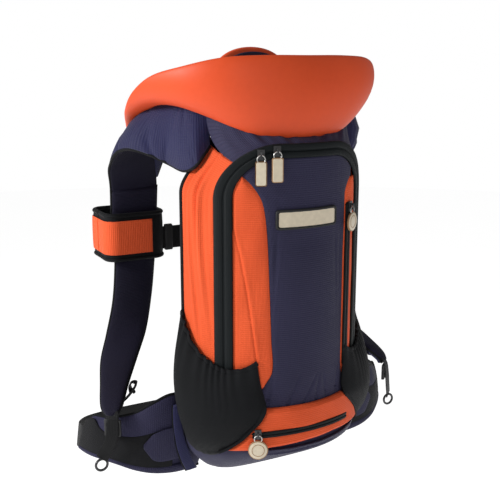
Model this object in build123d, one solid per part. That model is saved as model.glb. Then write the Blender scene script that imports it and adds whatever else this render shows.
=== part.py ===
from build123d import *
import os
from math import asin, cos, sin, sqrt

os.makedirs("parts", exist_ok=True)

# Frame: millimetres, +X to the wearer's right, +Y towards the wearer, +Z up.
# y = 0 is the face that rests on the wearer's back, z = 0 is the centre line of the hip belt.

# Bag
FRONT_HALF = 118        # half width where the sides meet the curved front
FRONT_Y = -88           # and how far back that corner is
FRONT_REACH = -140      # the front's furthest point
BACK_HALF = 142         # half width at the back
BACK_Y = -20
BAG_BOTTOM = -20
BAG_TOP = 457
WALL = 3
BASE_DEPTH = 16

# The front is one upright cylinder; these follow from its width and reach
RISE = FRONT_Y - FRONT_REACH
FRONT_R = (FRONT_HALF ** 2 + RISE ** 2) / (2 * RISE)
FRONT_CY = FRONT_REACH + FRONT_R

# Main zip arch, seen from the rear of the pack
ZIP_HALF = 111          # centre line of the teeth
ZIP_TOP = 450
ZIP_RADIUS = 68
TAPE = 7
FLAP_BOTTOM = 70
FLAP_FOLD = 150         # the flap folds down here, level with the mouths of the side pockets
FLAP_WALL = 4
SIDE_ZIP = (82, FLAP_FOLD + 1, 370)     # its x, lower end and upper end
PANEL_HALF = 58         # half width of the flap's centre panel
FIT = 0.5               # sewing gap between neighbouring panels

# Zip furniture
SLIDER = (10, 15, 3)
RING_R, RING_WIRE = 5.5, 0.8
TAG = (16, 34, 3)
PENDANT_THICK = 3
PENDANT_R = 14.5
PIVOT_OUT = 5.2         # ring pivot above the slider's underside
BOTTOM_ZIP = (80, 41)

# Harness
STRAP_THICK = 14
YOKE_THICK = 12
CHEST_WEB, BELT_WEB, WEB_THICK = 38, 38, 1.8
CHEST_Z, CHEST_Y = 283, 150
BELT_Z, BELT_Y = -50, 217
WING_THICK = 16
CUFF_Z, CUFF_TALL, CUFF_WALL = 292, 76, 4
CUFF_HALF_X, CUFF_HALF_Y, CUFF_X, CUFF_Y = 50, 44, 152, 180
CUFF_CORNER = 20

# Saddle
SHELL_THICK = 9
LINING = 5
PAN_Z, PAN_THICK = 480, 6
PAD_THICK = 12


def left_right(name, shape):
    """Write a piece made for +X as the right one and its mirror as the left one."""
    export_step(shape, f"parts/right_{name}.step")
    export_step(mirror(shape, about=Plane.YZ), f"parts/left_{name}.step")


def save(name, shape):
    export_step(shape, f"parts/{name}.step")


def along_y(sketch, y_near, y_far):
    """Extrude a sketch drawn in X and Z from y_near to the further-out y_far."""
    return extrude(Plane.XZ.offset(-y_near) * sketch, amount=y_near - y_far)


def up_z(sketch, z_low, z_high):
    return extrude(Plane.XY.offset(z_low) * sketch, amount=z_high - z_low)


def polygon(points):
    return make_face(Polyline(*points, close=True))


def quads(stations):
    """Ruled loft through four-cornered sections."""
    wires = [Wire.make_polygon([Vector(*p) for p in s], close=True) for s in stations]
    return Solid.make_loft(wires, ruled=True)


def band(edges, thick, lift=0, crown=None):
    """Band whose two edges pass through the pairs of points, lifted off its own face.

    A crown raises its middle off the face by one height for each pair."""
    middles = [(Vector(*a) + Vector(*b)) * 0.5 for a, b in edges]
    stations = []
    for i, (a, b) in enumerate(edges):
        ahead = middles[min(i + 1, len(middles) - 1)] - middles[max(i - 1, 0)]
        face = ahead.cross(Vector(*b) - Vector(*a)).normalized()
        low, high = face * (lift - thick / 2), face * (lift + thick / 2)
        a, b = Vector(*a), Vector(*b)
        corners = [a + low, b + low, b + high, a + high]
        if crown:
            raised = middles[i] - face * crown[i]
            corners = [a + low, raised + low, b + low, b + high, raised + high, a + high]
        stations.append([tuple(corner) for corner in corners])
    return quads(stations)


def bag_plan(shrink=0):
    """Plan outline of the bag: curved front, straight sides, flat back."""
    front = FRONT_HALF - shrink * 0.8
    reach = FRONT_REACH + shrink
    arc = ThreePointArc((-front, FRONT_Y), (0, reach), (front, FRONT_Y))
    back, back_y = BACK_HALF - shrink, BACK_Y - shrink
    sides = Polyline((front, FRONT_Y), (back, -36), (back - 14, back_y),
                     (14 - back, back_y), (-back, -36), (-front, FRONT_Y))
    return make_face(arc + sides)


def arch(inset):
    """Outline of the zip's arch, moved inwards from the teeth by inset."""
    half, top, radius = ZIP_HALF - inset, ZIP_TOP - inset, ZIP_RADIUS - inset
    block = Pos(0, top / 2) * RectangleRounded(2 * half, top, radius)
    foot = Pos(0, 60) * Rectangle(2 * half, 120)
    return block + foot


def skin(inner, outer, sketch):
    """The part of the curved front between two heights off its face that a sketch covers."""
    ring = Circle(FRONT_R + outer) - Circle(FRONT_R + inner)
    tube = up_z(Pos(0, FRONT_CY) * ring, BAG_BOTTOM - 40, BAG_TOP + 40)
    return tube & along_y(sketch, -70, -160)


def front_plane(x, z, out=0):
    """Plane on the curved front at x and z: local x along the face, y up, z outwards."""
    turn = asin(x / FRONT_R)
    radius = FRONT_R + out
    return Plane(origin=(radius * sin(turn), FRONT_CY - radius * cos(turn), z),
                 x_dir=(cos(turn), sin(turn), 0), z_dir=(sin(turn), -cos(turn), 0))


def bag_outline(inset):
    """Block with the bag's rounded corners as seen from behind the wearer."""
    tall = BAG_TOP - BAG_BOTTOM - 2 * inset
    face = RectangleRounded(2 * (BACK_HALF - inset), tall, 70 - inset)
    return along_y(Pos(0, (BAG_TOP + BAG_BOTTOM) / 2) * face, 0, -160)


def bag_body():
    outer = up_z(bag_plan(), BAG_BOTTOM, BAG_TOP) & bag_outline(0)
    inner = up_z(bag_plan(WALL), BAG_BOTTOM + WALL, BAG_TOP - WALL) & bag_outline(WALL)
    mouth = along_y(arch(0) & level(FLAP_BOTTOM - FIT, BAG_TOP), -75, -160)
    return outer - inner - mouth


def base_panel():
    top = Plane.XY.offset(BAG_BOTTOM - 0.3) * Pos(0, -76) * RectangleRounded(250, 112, 40)
    foot = Plane.XY.offset(BAG_BOTTOM - BASE_DEPTH) * Pos(0, -74) * RectangleRounded(190, 70, 30)
    return loft([top, foot], ruled=True)


def top_collar():
    low = Plane.XY.offset(BAG_TOP + 0.3) * Pos(0, -70) * RectangleRounded(226, 92, 34)
    high = Plane.XY.offset(BAG_TOP + 9) * Pos(0, -66) * RectangleRounded(180, 74, 30)
    return loft([low, high], ruled=True)


def level(z_low, z_high):
    """Strip of a front view between two heights."""
    return Pos(0, (z_low + z_high) / 2) * Rectangle(600, z_high - z_low)


def flap_part(cut, rows):
    """A panel of the zipped front: the curved wall inside the teeth that cut and rows cover."""
    return skin(-FLAP_WALL, 0, arch(FIT) & rows & cut)


def zip_tape(outer_inset, inner_inset, rows):
    return skin(0.3, 1.6, (arch(outer_inset) - arch(inner_inset)) & rows)


def lower_outline():
    return polygon([(-112, 8), (-66, 66), (66, 66), (112, 8), (60, -12), (-60, -12)])


def lower_panel():
    outline = lower_outline()
    slot = Pos(0, BOTTOM_ZIP[1]) * Rectangle(2 * BOTTOM_ZIP[0] + 1, 9)
    shell = skin(6, 8.5, outline - slot)
    rim = skin(0.3, 6, outline - offset(outline, -3))
    return shell + rim


def bottom_zip():
    return skin(6, 8.2, Pos(0, BOTTOM_ZIP[1]) * Rectangle(2 * BOTTOM_ZIP[0], 8.4))


def side_zip():
    x, low, high = SIDE_ZIP
    return skin(0.3, 1.6, Pos(x, (low + high) / 2) * Rectangle(13, high - low))


def slider(x, z, out):
    """Zip slider with a bridge for the pull's ring, on the curved front."""
    wide, tall, thick = SLIDER
    body = Pos(0, 0, thick / 2) * Box(wide, tall, thick)
    bridge = Pos(0, 0, thick + 2.3) * Box(2.4, 9, 4.6)
    hole = Pos(0, 0, PIVOT_OUT) * Rot(0, 90, 0) * Cylinder(1.5, 10)
    return front_plane(x, z, out) * (body + bridge - hole)


def pull(x, z, out, plate):
    """Ring through the slider's bridge, with a plate hanging from it."""
    centre = Pos(0, -RING_R, PIVOT_OUT)
    ring = centre * Torus(RING_R, RING_WIRE)
    plate = plate - centre * Torus(RING_R, RING_WIRE + 0.3)
    return front_plane(x, z, out) * (ring + plate)


def tag():
    wide, tall, thick = TAG
    face = Pos(0, -2 * RING_R + 3 - tall / 2) * RectangleRounded(wide, tall, 3)
    return Pos(0, 0, PIVOT_OUT - thick / 2) * extrude(face, amount=thick)


def pendant():
    face = Pos(0, -2 * RING_R + 3 - PENDANT_R) * Circle(PENDANT_R)
    return Pos(0, 0, PIVOT_OUT - PENDANT_THICK / 2) * extrude(face, amount=PENDANT_THICK)


def side_pocket():
    """Stretch pocket: a bulged wall with an open, sloping mouth."""
    def wall(grow, lift):
        def ring(out, z):
            near, far = 0.4, out - grow
            return [(BACK_HALF + near - 1, -24 - grow, z), (BACK_HALF + far, -34, z),
                    (BACK_HALF - 4 + far, -66, z), (FRONT_HALF + far + 2, -96, z),
                    (80 + far * 0.4, -124 - far * 0.5, z), (70 + grow, -131 - near, z),
                    (FRONT_HALF + near - 24, -112, z), (FRONT_HALF + near, -88, z)]
        wires = [ring(5, 4 + lift), ring(26, 50), ring(31, 105), ring(9, 215)]
        return quads(wires)
    shape = wall(0, 0) - wall(2.2, 3)
    mouth = [(-10, 210), (-55, 152), (-92, 132), (-125, 145), (-190, 178),
             (-190, 260), (20, 260), (20, 215)]
    cut = extrude(Plane.YZ * polygon(mouth), amount=260)
    bag = up_z(bag_plan(-0.3), BAG_BOTTOM, BAG_TOP)
    panel = along_y(offset(lower_outline(), 1), -60, -180)
    return (shape - cut - bag - panel).solids().sort_by(SortBy.VOLUME)[-1]


def back_pad(z_low, z_high, half):
    pad = Pos(0, (z_low + z_high) / 2) * RectangleRounded(2 * half, z_high - z_low, 28)
    return along_y(pad, 0, -14)


def frame_sheet():
    return along_y(Pos(0, 195) * RectangleRounded(200, 470, 20), -14.3, -15.7)


def frame_stays():
    stay = Pos(55, 210) * RectangleRounded(25, 490, 6)
    return along_y(stay + Pos(-110, 0) * stay, -16.2, -19.2)


def saddle_bracket():
    """Angle plate that carries the saddle on the two stays."""
    foot = Pos(0, 0, 471) * Box(150, 76, 4)
    leg = Pos(0, 0, 456) * Box(150, 3, 32)
    return Pos(0, -54, 0) * foot + Pos(0, -13.7, 0) * leg + Pos(0, -18, 471) * Box(150, 11.6, 4)


def bracket_screws():
    head = Rot(90, 0, 0) * Cylinder(4.5, 3)
    return Part() + [Pos(x, -10.5, z) * head for x in (-55, 55) for z in (446, 462)]


# The saddle's wall from the rear centre to the front of the wing: lower edge, then rim
SADDLE = [((0, -124, 463), (0, -132, 577)),
          ((52, -114, 466), (62, -124, 577)),
          ((92, -96, 480), (114, -104, 574)),
          ((120, -66, 495), (154, -66, 563)),
          ((136, -26, 507), (180, -12, 549)),
          ((140, 14, 515), (192, 32, 525)),
          ((142, 50, 513), (190, 70, 498)),
          ((144, 86, 492), (176, 108, 476)),
          ((143, 108, 466), (164, 128, 450))]


def saddle_sections():
    right = SADDLE
    left = [((-a[0], a[1], a[2]), (-b[0], b[1], b[2])) for a, b in SADDLE[:0:-1]]
    return left + right


def saddle_shell():
    return band(saddle_sections(), SHELL_THICK)


def saddle_lining(grow=0):
    """Padded lining inside the rear wall and half way along each side."""
    pairs = []
    for low, rim in saddle_sections()[4:-4]:
        low, rim = Vector(*low), Vector(*rim)
        pairs.append((tuple(low + (rim - low) * 0.2), tuple(low + (rim - low) * 0.94)))
    return band(pairs, LINING + grow, -(SHELL_THICK / 2 + LINING / 2 + 0.5))


def seat_pan():
    """Dished floor of the saddle, trimmed where the wall meets it."""
    def bowl(lift, grow):
        floor, rim = RectangleRounded(160 + grow, 118 + grow, 44), RectangleRounded(256 + grow, 134 + grow, 60)
        low = Plane.XY.offset(PAN_Z - PAN_THICK + lift) * Pos(0, -35) * floor
        high = Plane.XY.offset(PAN_Z + 28) * Pos(0, -41) * rim
        return loft([low, high], ruled=True)
    above = up_z(Pos(0, -41) * Rectangle(400, 300), PAN_Z + 27.9, PAN_Z + 90)
    inside = bowl(PAN_THICK, -2 * PAN_THICK) + above
    wall = band(saddle_sections(), SHELL_THICK + 0.8)
    return (bowl(0, 0) - inside - wall - saddle_lining(0.8)).solids().sort_by(SortBy.VOLUME)[-1]


def seat_pad():
    low = Plane.XY.offset(PAN_Z + 0.3) * Pos(0, -35) * RectangleRounded(140, 96, 36)
    high = Plane.XY.offset(PAN_Z + PAD_THICK) * Pos(0, -35) * RectangleRounded(130, 86, 32)
    return loft([low, high], ruled=True)


def pommel_outline(inset):
    half, foot, top = 62 - inset, PAN_Z - 4, 590 - inset
    shoulder = foot + 78
    curve = Spline((-half, shoulder), (0, top), (half, shoulder), tangents=[(0, 1), (0, -1)])
    legs = Polyline((half, shoulder), (half - 6, foot), (6 - half, foot), (-half, shoulder))
    return make_face(curve + legs)


def pommel():
    return along_y(pommel_outline(0), 38, 26.5)


def pommel_lining():
    return along_y(pommel_outline(7) & (Pos(0, 550) * Rectangle(200, 82)), 26, 21)


YOKE = [((100, -30, 484), (122, -6, 414)),
        ((86, -2, 457), (154, 8, 426)),
        ((76, 42, 460), (190, 48, 440)),
        ((84, 92, 462), (199, 98, 428)),
        ((100, 132, 430), (196, 134, 402)),
        ((112, 151, 384), (188, 152, 372))]
YOKE_CROWN = [2, 38, 46, 14, 5, 1]   # how far its middle rises off the line between its edges
STRAP = [((112, 152, 370), (188, 152, 366)),
         ((112, 155, 290), (188, 155, 290)),
         ((113, 155, 245), (189, 155, 245)),
         ((127, 138, 194), (200, 136, 190)),
         ((142, 116, 146), (215, 120, 140)),
         ((161, 86, 116), (232, 98, 108)),
         ((191, 32, 88), (253, 64, 84)),
         ((222, -21, 60), (276, 29, 56))]


def wing_line():
    """Hip-belt wing: places of its lower and upper edges, from the bag to the front."""
    return [((114, -9, -52), (114, -9, 66)), ((165, -14, -50), (165, -14, 76)),
            ((215, -2, -40), (213, -2, 53)), ((252, 32, -28), (246, 34, 38)),
            ((270, 66, -27), (258, 60, 33)), ((274, 91, -28), (263, 76, 22))]


def hip_wing():
    return band(wing_line(), WING_THICK)


def wing_panel():
    """Hard-wearing outer panel on the lower half of the wing."""
    rows = [(Vector(*low), Vector(*high)) for low, high in wing_line()[1:]]
    rows = [(tuple(low + (high - low) * 0.08), tuple(low + (high - low) * 0.64)) for low, high in rows]
    return band(rows, 2, WING_THICK / 2 + 1.8)


def drop_webbing():
    """Strap's lower webbing: to its ladder lock, and on outside the wing to the ring."""
    def web(rows):
        return band([((x - 8, y - 6, z), (x + 8, y + 6, z)) for x, y, z in rows], WEB_THICK)
    return Part() + [web([(249, 3, 57), (250, 1, 49.5)]), web([(251, 1, 22.5), (260, 4, 4), (266, 7, -12)])]


def drop_ring():
    ring = Rot(90, 0, 0) * Torus(9, 2)
    return Pos(267, 8, -24) * ring


def ladder_lock():
    frame = Box(26, 5, 26) - Pos(0, 0, 5) * Box(19, 8, 5) - Pos(0, 0, -5) * Box(19, 8, 5)
    return Pos(250, 0, 36) * Rot(0, 0, 42) * frame


def cuff_outline(grow):
    return RectangleRounded(2 * (CUFF_HALF_X + grow), 2 * (CUFF_HALF_Y + grow), CUFF_CORNER + grow)


def cuff_wall(inner, outer, tall, y_low, y_high):
    """Stretch of the cuff's loop between two distances in front of its middle."""
    ring = cuff_outline(outer) - cuff_outline(inner)
    keep = Pos(0, (y_low + y_high) / 2) * Rectangle(200, y_high - y_low)
    return Pos(CUFF_X, CUFF_Y, CUFF_Z - tall / 2) * extrude(ring & keep, amount=tall)


def cuff_back():
    return cuff_wall(-CUFF_WALL, 0, CUFF_TALL, -80, 0)


def cuff_gate():
    return cuff_wall(-CUFF_WALL, 0, CUFF_TALL, FIT, 80)


def buckle_socket(x, y, z, web):
    body = Pos(-22, 0, 0) * Box(44, 13, web + 9)
    return Pos(x, y, z) * (body - Pos(-15, -1.5, 0) * Box(34, 7, web - 2))


def buckle_plug(x, y, z, web):
    base = Pos(9.3, 0, 0) * Box(18, 13, web + 8)
    slot = Pos(9.3, 3.6, 0) * Box(40, 3, web + 1.5)
    tongue = Pos(-13, -1.5, 0) * Box(28, 5, web - 6)
    return Pos(x, y, z) * (base - slot + tongue)


def chest_webbing():
    start = CUFF_X - CUFF_HALF_X - 1
    left = Pos((-start - 44.5) / 2, CHEST_Y, CHEST_Z) * Box(start - 44.5, WEB_THICK, CHEST_WEB)
    right = Pos((start + 4) / 2, CHEST_Y + 3.6, CHEST_Z) * Box(start - 4, WEB_THICK, CHEST_WEB)
    return left + right


def belt_route(sign, y_lift, last_x):
    rows = [(272, 93.5, -12), (264, 136, -24), (236, 178, -38), (190, 208, -47), (140, BELT_Y, BELT_Z),
            (last_x, BELT_Y, BELT_Z)]
    half = BELT_WEB / 2
    edges = [((sign * x, y + y_lift, z - half), (sign * x, y + y_lift, z + half)) for x, y, z in rows]
    edges[0] = ((sign * 273.5, 94 + y_lift, -31), (sign * 267, 82.5 + y_lift, 7))
    return band(edges, WEB_THICK)


def belt_webbing():
    return Part() + [belt_route(-1, 0, 44.5), belt_route(1, 3.6, 4)]


def write_bag():
    save("bag_body", bag_body())
    save("base_panel", base_panel())
    save("top_collar", top_collar())
    outer_tape = zip_tape(-TAPE - 1, -1, level(FLAP_BOTTOM, BAG_TOP + 10))
    save("bag_zip_tape", outer_tape + zip_tape(1, TAPE + 1, level(FLAP_BOTTOM, FLAP_FOLD - FIT)))
    save("lower_panel", lower_panel())
    save("bottom_zip", bottom_zip())
    left_right("side_pocket", side_pocket())


def write_flap():
    centre = Pos(0, 250) * Rectangle(2 * PANEL_HALF, 500)
    side = Pos(PANEL_HALF + FIT + 100, 250) * Rectangle(200, 500)
    upper, lower = level(FLAP_FOLD + FIT, BAG_TOP), level(FLAP_BOTTOM, FLAP_FOLD - FIT)
    save("flap_centre_panel", flap_part(centre, upper))
    left_right("flap_side_panel", flap_part(side, upper))
    save("flap_zip_tape", zip_tape(1, TAPE + 1, upper))
    lower_side = flap_part(side, lower)
    save("lower_front_panels", flap_part(centre, lower) + lower_side + mirror(lower_side, about=Plane.YZ))
    save("side_zip", side_zip())
    label = Pos(0, 355)
    save("label_border", skin(0.3, 1.8, label * RectangleRounded(98, 28, 4)))
    save("label_plate", skin(2, 3.2, label * RectangleRounded(91, 21, 3)))


def write_zip_furniture():
    left_x, right_x = -68, -48
    lean = sqrt(ZIP_RADIUS ** 2 - (ZIP_HALF - ZIP_RADIUS + left_x) ** 2)
    left_z = ZIP_TOP - ZIP_RADIUS + lean
    for name, x, z, out, plate in (("main_left", left_x, left_z, 2.9, tag()),
                                   ("main_right", right_x, ZIP_TOP, 2.9, tag()),
                                   ("side", SIDE_ZIP[0], SIDE_ZIP[2] - 8, 1.9, pendant()),
                                   ("bottom", 9 - BOTTOM_ZIP[0], BOTTOM_ZIP[1], 8.8, pendant())):
        save(f"{name}_slider", slider(x, z, out))
        save(f"{name}_pull", pull(x, z, out, plate))


def write_frame():
    save("back_pad", back_pad(62, 432, 104))
    save("lumbar_pad", back_pad(-52, 56, 112))
    save("frame_sheet", frame_sheet())
    save("frame_stays", frame_stays())
    save("saddle_bracket", saddle_bracket())
    save("bracket_screws", bracket_screws())


def write_saddle():
    save("saddle_shell", saddle_shell())
    save("saddle_lining", saddle_lining())
    save("seat_pan", seat_pan())
    save("seat_pad", seat_pad())
    save("pommel", pommel())
    save("pommel_lining", pommel_lining())


def write_harness():
    left_right("yoke", band(YOKE, YOKE_THICK, crown=YOKE_CROWN))
    left_right("shoulder_strap", band(STRAP, STRAP_THICK))
    left_right("hip_wing", hip_wing())
    left_right("wing_panel", wing_panel())
    left_right("drop_webbing", drop_webbing())
    left_right("drop_ring", drop_ring())
    left_right("ladder_lock", ladder_lock())
    left_right("cuff_back", cuff_back())
    left_right("cuff_gate", cuff_gate())
    save("chest_webbing", chest_webbing())
    save("chest_buckle_socket", buckle_socket(0, CHEST_Y, CHEST_Z, CHEST_WEB))
    save("chest_buckle_plug", buckle_plug(0, CHEST_Y, CHEST_Z, CHEST_WEB))
    save("belt_webbing", belt_webbing())
    save("belt_buckle_socket", buckle_socket(0, BELT_Y, BELT_Z, BELT_WEB))
    save("belt_buckle_plug", buckle_plug(0, BELT_Y, BELT_Z, BELT_WEB))


write_bag()
write_flap()
write_zip_furniture()
write_frame()
write_saddle()
write_harness()
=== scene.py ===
from math import asin, cos, exp, pi, radians, sin, sqrt

import bpy
from mathutils import Matrix, Vector


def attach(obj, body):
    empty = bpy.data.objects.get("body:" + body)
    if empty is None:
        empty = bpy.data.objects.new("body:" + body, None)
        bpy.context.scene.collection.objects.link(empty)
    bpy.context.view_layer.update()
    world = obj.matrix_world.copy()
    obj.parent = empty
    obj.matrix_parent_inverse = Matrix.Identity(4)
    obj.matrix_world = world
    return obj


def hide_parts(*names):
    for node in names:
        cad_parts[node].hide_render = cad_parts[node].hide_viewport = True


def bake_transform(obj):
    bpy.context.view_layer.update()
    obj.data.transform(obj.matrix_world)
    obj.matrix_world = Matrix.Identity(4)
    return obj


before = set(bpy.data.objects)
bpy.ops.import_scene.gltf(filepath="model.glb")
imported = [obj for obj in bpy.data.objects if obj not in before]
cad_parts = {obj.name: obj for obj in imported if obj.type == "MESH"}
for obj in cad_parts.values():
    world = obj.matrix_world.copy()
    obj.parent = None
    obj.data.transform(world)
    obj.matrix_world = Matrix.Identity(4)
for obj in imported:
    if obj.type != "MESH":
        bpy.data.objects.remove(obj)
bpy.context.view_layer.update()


# ---- Camera, lights and floor ----
# The pack is seen from its rear left, a little above the middle, with a normal lens.
# One large soft light stands on the left and a weaker one in front of the bag.
# It hangs at the height of a wearer's hips above a plain pale floor.

HIP_HEIGHT = 0.95

bpy.context.scene.view_settings.view_transform = "Standard"
world = bpy.data.worlds.new("studio")
bpy.context.scene.world = world
world.use_nodes = True
AMBIENT = 0.30                        # what the white studio walls add to each surface
sky = world.node_tree.nodes["Background"]
sky.inputs["Color"].default_value = (1, 1, 1, 1)
seen = world.node_tree.nodes.new("ShaderNodeLightPath")
level = world.node_tree.nodes.new("ShaderNodeMapRange")
level.inputs["To Min"].default_value = AMBIENT
level.inputs["To Max"].default_value = 1.0
world.node_tree.links.new(seen.outputs["Is Camera Ray"], level.inputs["Value"])
world.node_tree.links.new(level.outputs["Result"], sky.inputs["Strength"])

camera_data = bpy.data.cameras.new("camera")
camera_data.lens = 60
camera = bpy.data.objects.new("camera", camera_data)
camera.location = (-0.6107, -1.1141, 0.5706)
camera.rotation_euler = (radians(77.15), 0, radians(-28))
bpy.context.collection.objects.link(camera)
bpy.context.scene.camera = camera


def soft_light(name, place, aim, power, wide):
    lamp = bpy.data.lights.new(name, "AREA")
    lamp.shape, lamp.size, lamp.energy = "DISK", wide, power
    light = bpy.data.objects.new(name, lamp)
    light.location = place
    light.rotation_euler = (Vector(aim) - Vector(place)).to_track_quat("-Z", "Y").to_euler()
    bpy.context.collection.objects.link(light)


soft_light("left_light", (-2.4, 0.35, 1.3), (0, 0, 0.3), 66, 0.8)
soft_light("rear_light", (-0.9, -2.5, 1.2), (0, 0, 0.3), 8, 1.2)


class Shade:
    """A socket of a material's nodes that can be added, multiplied and so on."""

    def __init__(self, tree, socket):
        self.tree, self.socket = tree, socket

    def math(self, operation, *others):
        return node(self.tree, "ShaderNodeMath", {"operation": operation}, self, *others)

    def __add__(self, other):
        return self.math("ADD", other)

    __radd__ = __add__

    def __sub__(self, other):
        return self.math("SUBTRACT", other)

    def __rsub__(self, other):
        return node(self.tree, "ShaderNodeMath", {"operation": "SUBTRACT"}, other, self)

    def __mul__(self, other):
        return self.math("MULTIPLY", other)

    __rmul__ = __mul__

    def clamped(self):
        return node(self.tree, "ShaderNodeMath", {"operation": "ADD", "use_clamp": True}, self, 0.0)


def node(tree, kind, settings, *inputs, out=0, **named):
    """Any node: its settings first, then its sockets in order or by name."""
    made = tree.nodes.new(kind)
    for key, value in settings.items():
        if key == "stops":
            ramp = made.color_ramp
            ramp.elements[0].position, ramp.elements[0].color = value[0]
            ramp.elements[1].position, ramp.elements[1].color = value[-1]
            for place, colour in value[1:-1]:
                ramp.elements.new(place).color = colour
        else:
            setattr(made, key, value)
    pairs = list(enumerate(inputs)) + [(key.replace("_", " "), value) for key, value in named.items()]
    for key, value in pairs:
        if isinstance(value, Shade):
            tree.links.new(value.socket, made.inputs[key])
        elif value is not None:
            made.inputs[key].default_value = value
    return Shade(tree, made.outputs[out])


def paint(name, roughness, **fixed):
    """An empty material with one surface shader; fixed values go straight on its sockets."""
    material = bpy.data.materials.new(name)
    material.use_nodes = True
    tree = material.node_tree
    shader = tree.nodes["Principled BSDF"]
    shader.inputs["Roughness"].default_value = roughness
    for key, value in fixed.items():
        shader.inputs[key.replace("_", " ")].default_value = value
    return material, tree, shader


def wire(tree, shader, colour=None, height=None, rough=None, strength=0.5, distance=0.001):
    """Connect a colour, a roughness and a bump height to a surface shader."""
    if colour is not None:
        tree.links.new(colour.socket, shader.inputs["Base Color"])
    if rough is not None:
        tree.links.new(rough.socket, shader.inputs["Roughness"])
    if height is not None:
        bump = node(tree, "ShaderNodeBump", {}, Strength=strength, Distance=distance, Height=height)
        tree.links.new(bump.socket, shader.inputs["Normal"])


def mix(tree, amount, first, second):
    """Blend two colours by an amount."""
    return node(tree, "ShaderNodeMix", {"data_type": "RGBA"}, amount, None, None, None, None, None,
                first, second, out=2)


def object_noise(tree, scale, detail=3.0, stretch=(1, 1, 1)):
    place = node(tree, "ShaderNodeTexCoord", {}, out=3)
    place = node(tree, "ShaderNodeMapping", {}, Vector=place, Scale=stretch)
    return node(tree, "ShaderNodeTexNoise", {}, Vector=place, Scale=scale, Detail=detail)


def floor_paint():
    material, tree, shader = paint("pale_floor", 0.9, Emission_Color=(1, 1, 1, 1), Emission_Strength=0.70)
    tone = object_noise(tree, 0.6)
    wire(tree, shader, mix(tree, tone, (0.9, 0.9, 0.9, 1), (0.94, 0.94, 0.94, 1)))
    return material


bpy.ops.object.select_all(action="DESELECT")
bpy.ops.mesh.primitive_circle_add(vertices=96, radius=9, fill_type="NGON", location=(0, 0, -HIP_HEIGHT))
floor = bpy.context.object
floor.name = "floor"
floor.data.materials.append(floor_paint())


# ---- Bag gussets ----
# The bag's two sides are bright orange ripstop that runs from the zip to the back seam.
# The cloth hangs in soft upright folds below the shoulder yokes.
# Each is cut as one piece and sewn into the zip tape and the black back binding.

MM = 0.001
FRONT_R = 0.1598846                   # the front is one upright cylinder of this radius
FRONT_CY = 0.0198846                  # about this line
BAG_HALF, BAG_BACK = 142 * MM, -22 * MM
ARCH_STRAIGHT, ARCH_SPRING = 43 * MM, 382 * MM
PACK, FLAP = "pack", "flap"
FOLD = 0.150                          # the flap folds down at this height


def front(x, z, lift=0.0):
    """Point on the bag's curved front at x and z, lifted off its face."""
    turn = asin(max(-1, min(1, x / FRONT_R)))
    radius = FRONT_R + lift
    return Vector((radius * sin(turn), FRONT_CY - radius * cos(turn), z))


def arch_half(half, z):
    """Half width at height z of the zip's arch, whose legs stand at half."""
    rise = z - ARCH_SPRING
    if rise <= 0:
        return half
    radius = half - ARCH_STRAIGHT
    return ARCH_STRAIGHT + sqrt(max(0, radius ** 2 - rise ** 2))


def between(value, knots):
    """Smooth curve through (place, height) pairs, level beyond both ends."""
    if value <= knots[0][0]:
        return knots[0][1]
    for (a, low), (b, high) in zip(knots, knots[1:]):
        if value <= b:
            t = (value - a) / (b - a)
            return low + (high - low) * t * t * (3 - 2 * t)
    return knots[-1][1]


def through(value, knots):
    """Flowing curve through (place, height) pairs, without steps."""
    if value <= knots[0][0]:
        return knots[0][1]
    if value >= knots[-1][0]:
        return knots[-1][1]
    i = max(k for k in range(len(knots) - 1) if knots[k][0] <= value)
    def slope(k):
        low, high = knots[max(0, k - 1)], knots[min(len(knots) - 1, k + 1)]
        return (high[1] - low[1]) / (high[0] - low[0])
    (a, low), (b, high) = knots[i], knots[i + 1]
    wide = b - a
    t = (value - a) / wide
    return ((2 * t ** 3 - 3 * t ** 2 + 1) * low + (t ** 3 - 2 * t ** 2 + t) * wide * slope(i)
            + (3 * t ** 2 - 2 * t ** 3) * high + (t ** 3 - t ** 2) * wide * slope(i + 1))


def back_half(z):
    """Half width of the bag's back, rounded in at its top corners."""
    return BAG_HALF - 0.041 * between(z, [(0.385, 0), (0.462, 1)])


def bump_at(value, centre, wide):
    return exp(-((value - centre) / wide) ** 2)


def running_length(place, steps):
    """Lengths along a curve given by place(0..1), at each of its steps."""
    lengths, last = [0.0], place(0)
    for i in range(1, steps + 1):
        here = place(i / steps)
        lengths.append(lengths[-1] + (here - last).length)
        last = here
    return lengths


def open_edit(piece):
    bpy.ops.object.select_all(action="DESELECT")
    piece.select_set(True)
    bpy.context.view_layer.objects.active = piece
    bpy.ops.object.mode_set(mode="EDIT")
    bpy.ops.mesh.select_all(action="SELECT")


def close_edit(angle=50):
    bpy.ops.object.mode_set(mode="OBJECT")
    bpy.ops.object.shade_smooth_by_angle(angle=radians(angle))


def sealed(piece, capped=False):
    """Weld a piece's seam and poles, fill its open ends if capped, and turn its faces outwards."""
    open_edit(piece)
    bpy.ops.mesh.remove_doubles(threshold=0.00002)
    if capped:
        bpy.ops.mesh.fill_holes(sides=0)
    bpy.ops.mesh.normals_make_consistent(inside=False)
    close_edit()
    return piece


def apply(piece, kind, **settings):
    bpy.context.view_layer.objects.active = piece
    modifier = piece.modifiers.new(kind, kind)
    for key, value in settings.items():
        setattr(modifier, key, value)
    bpy.ops.object.modifier_apply(modifier=modifier.name)


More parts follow.
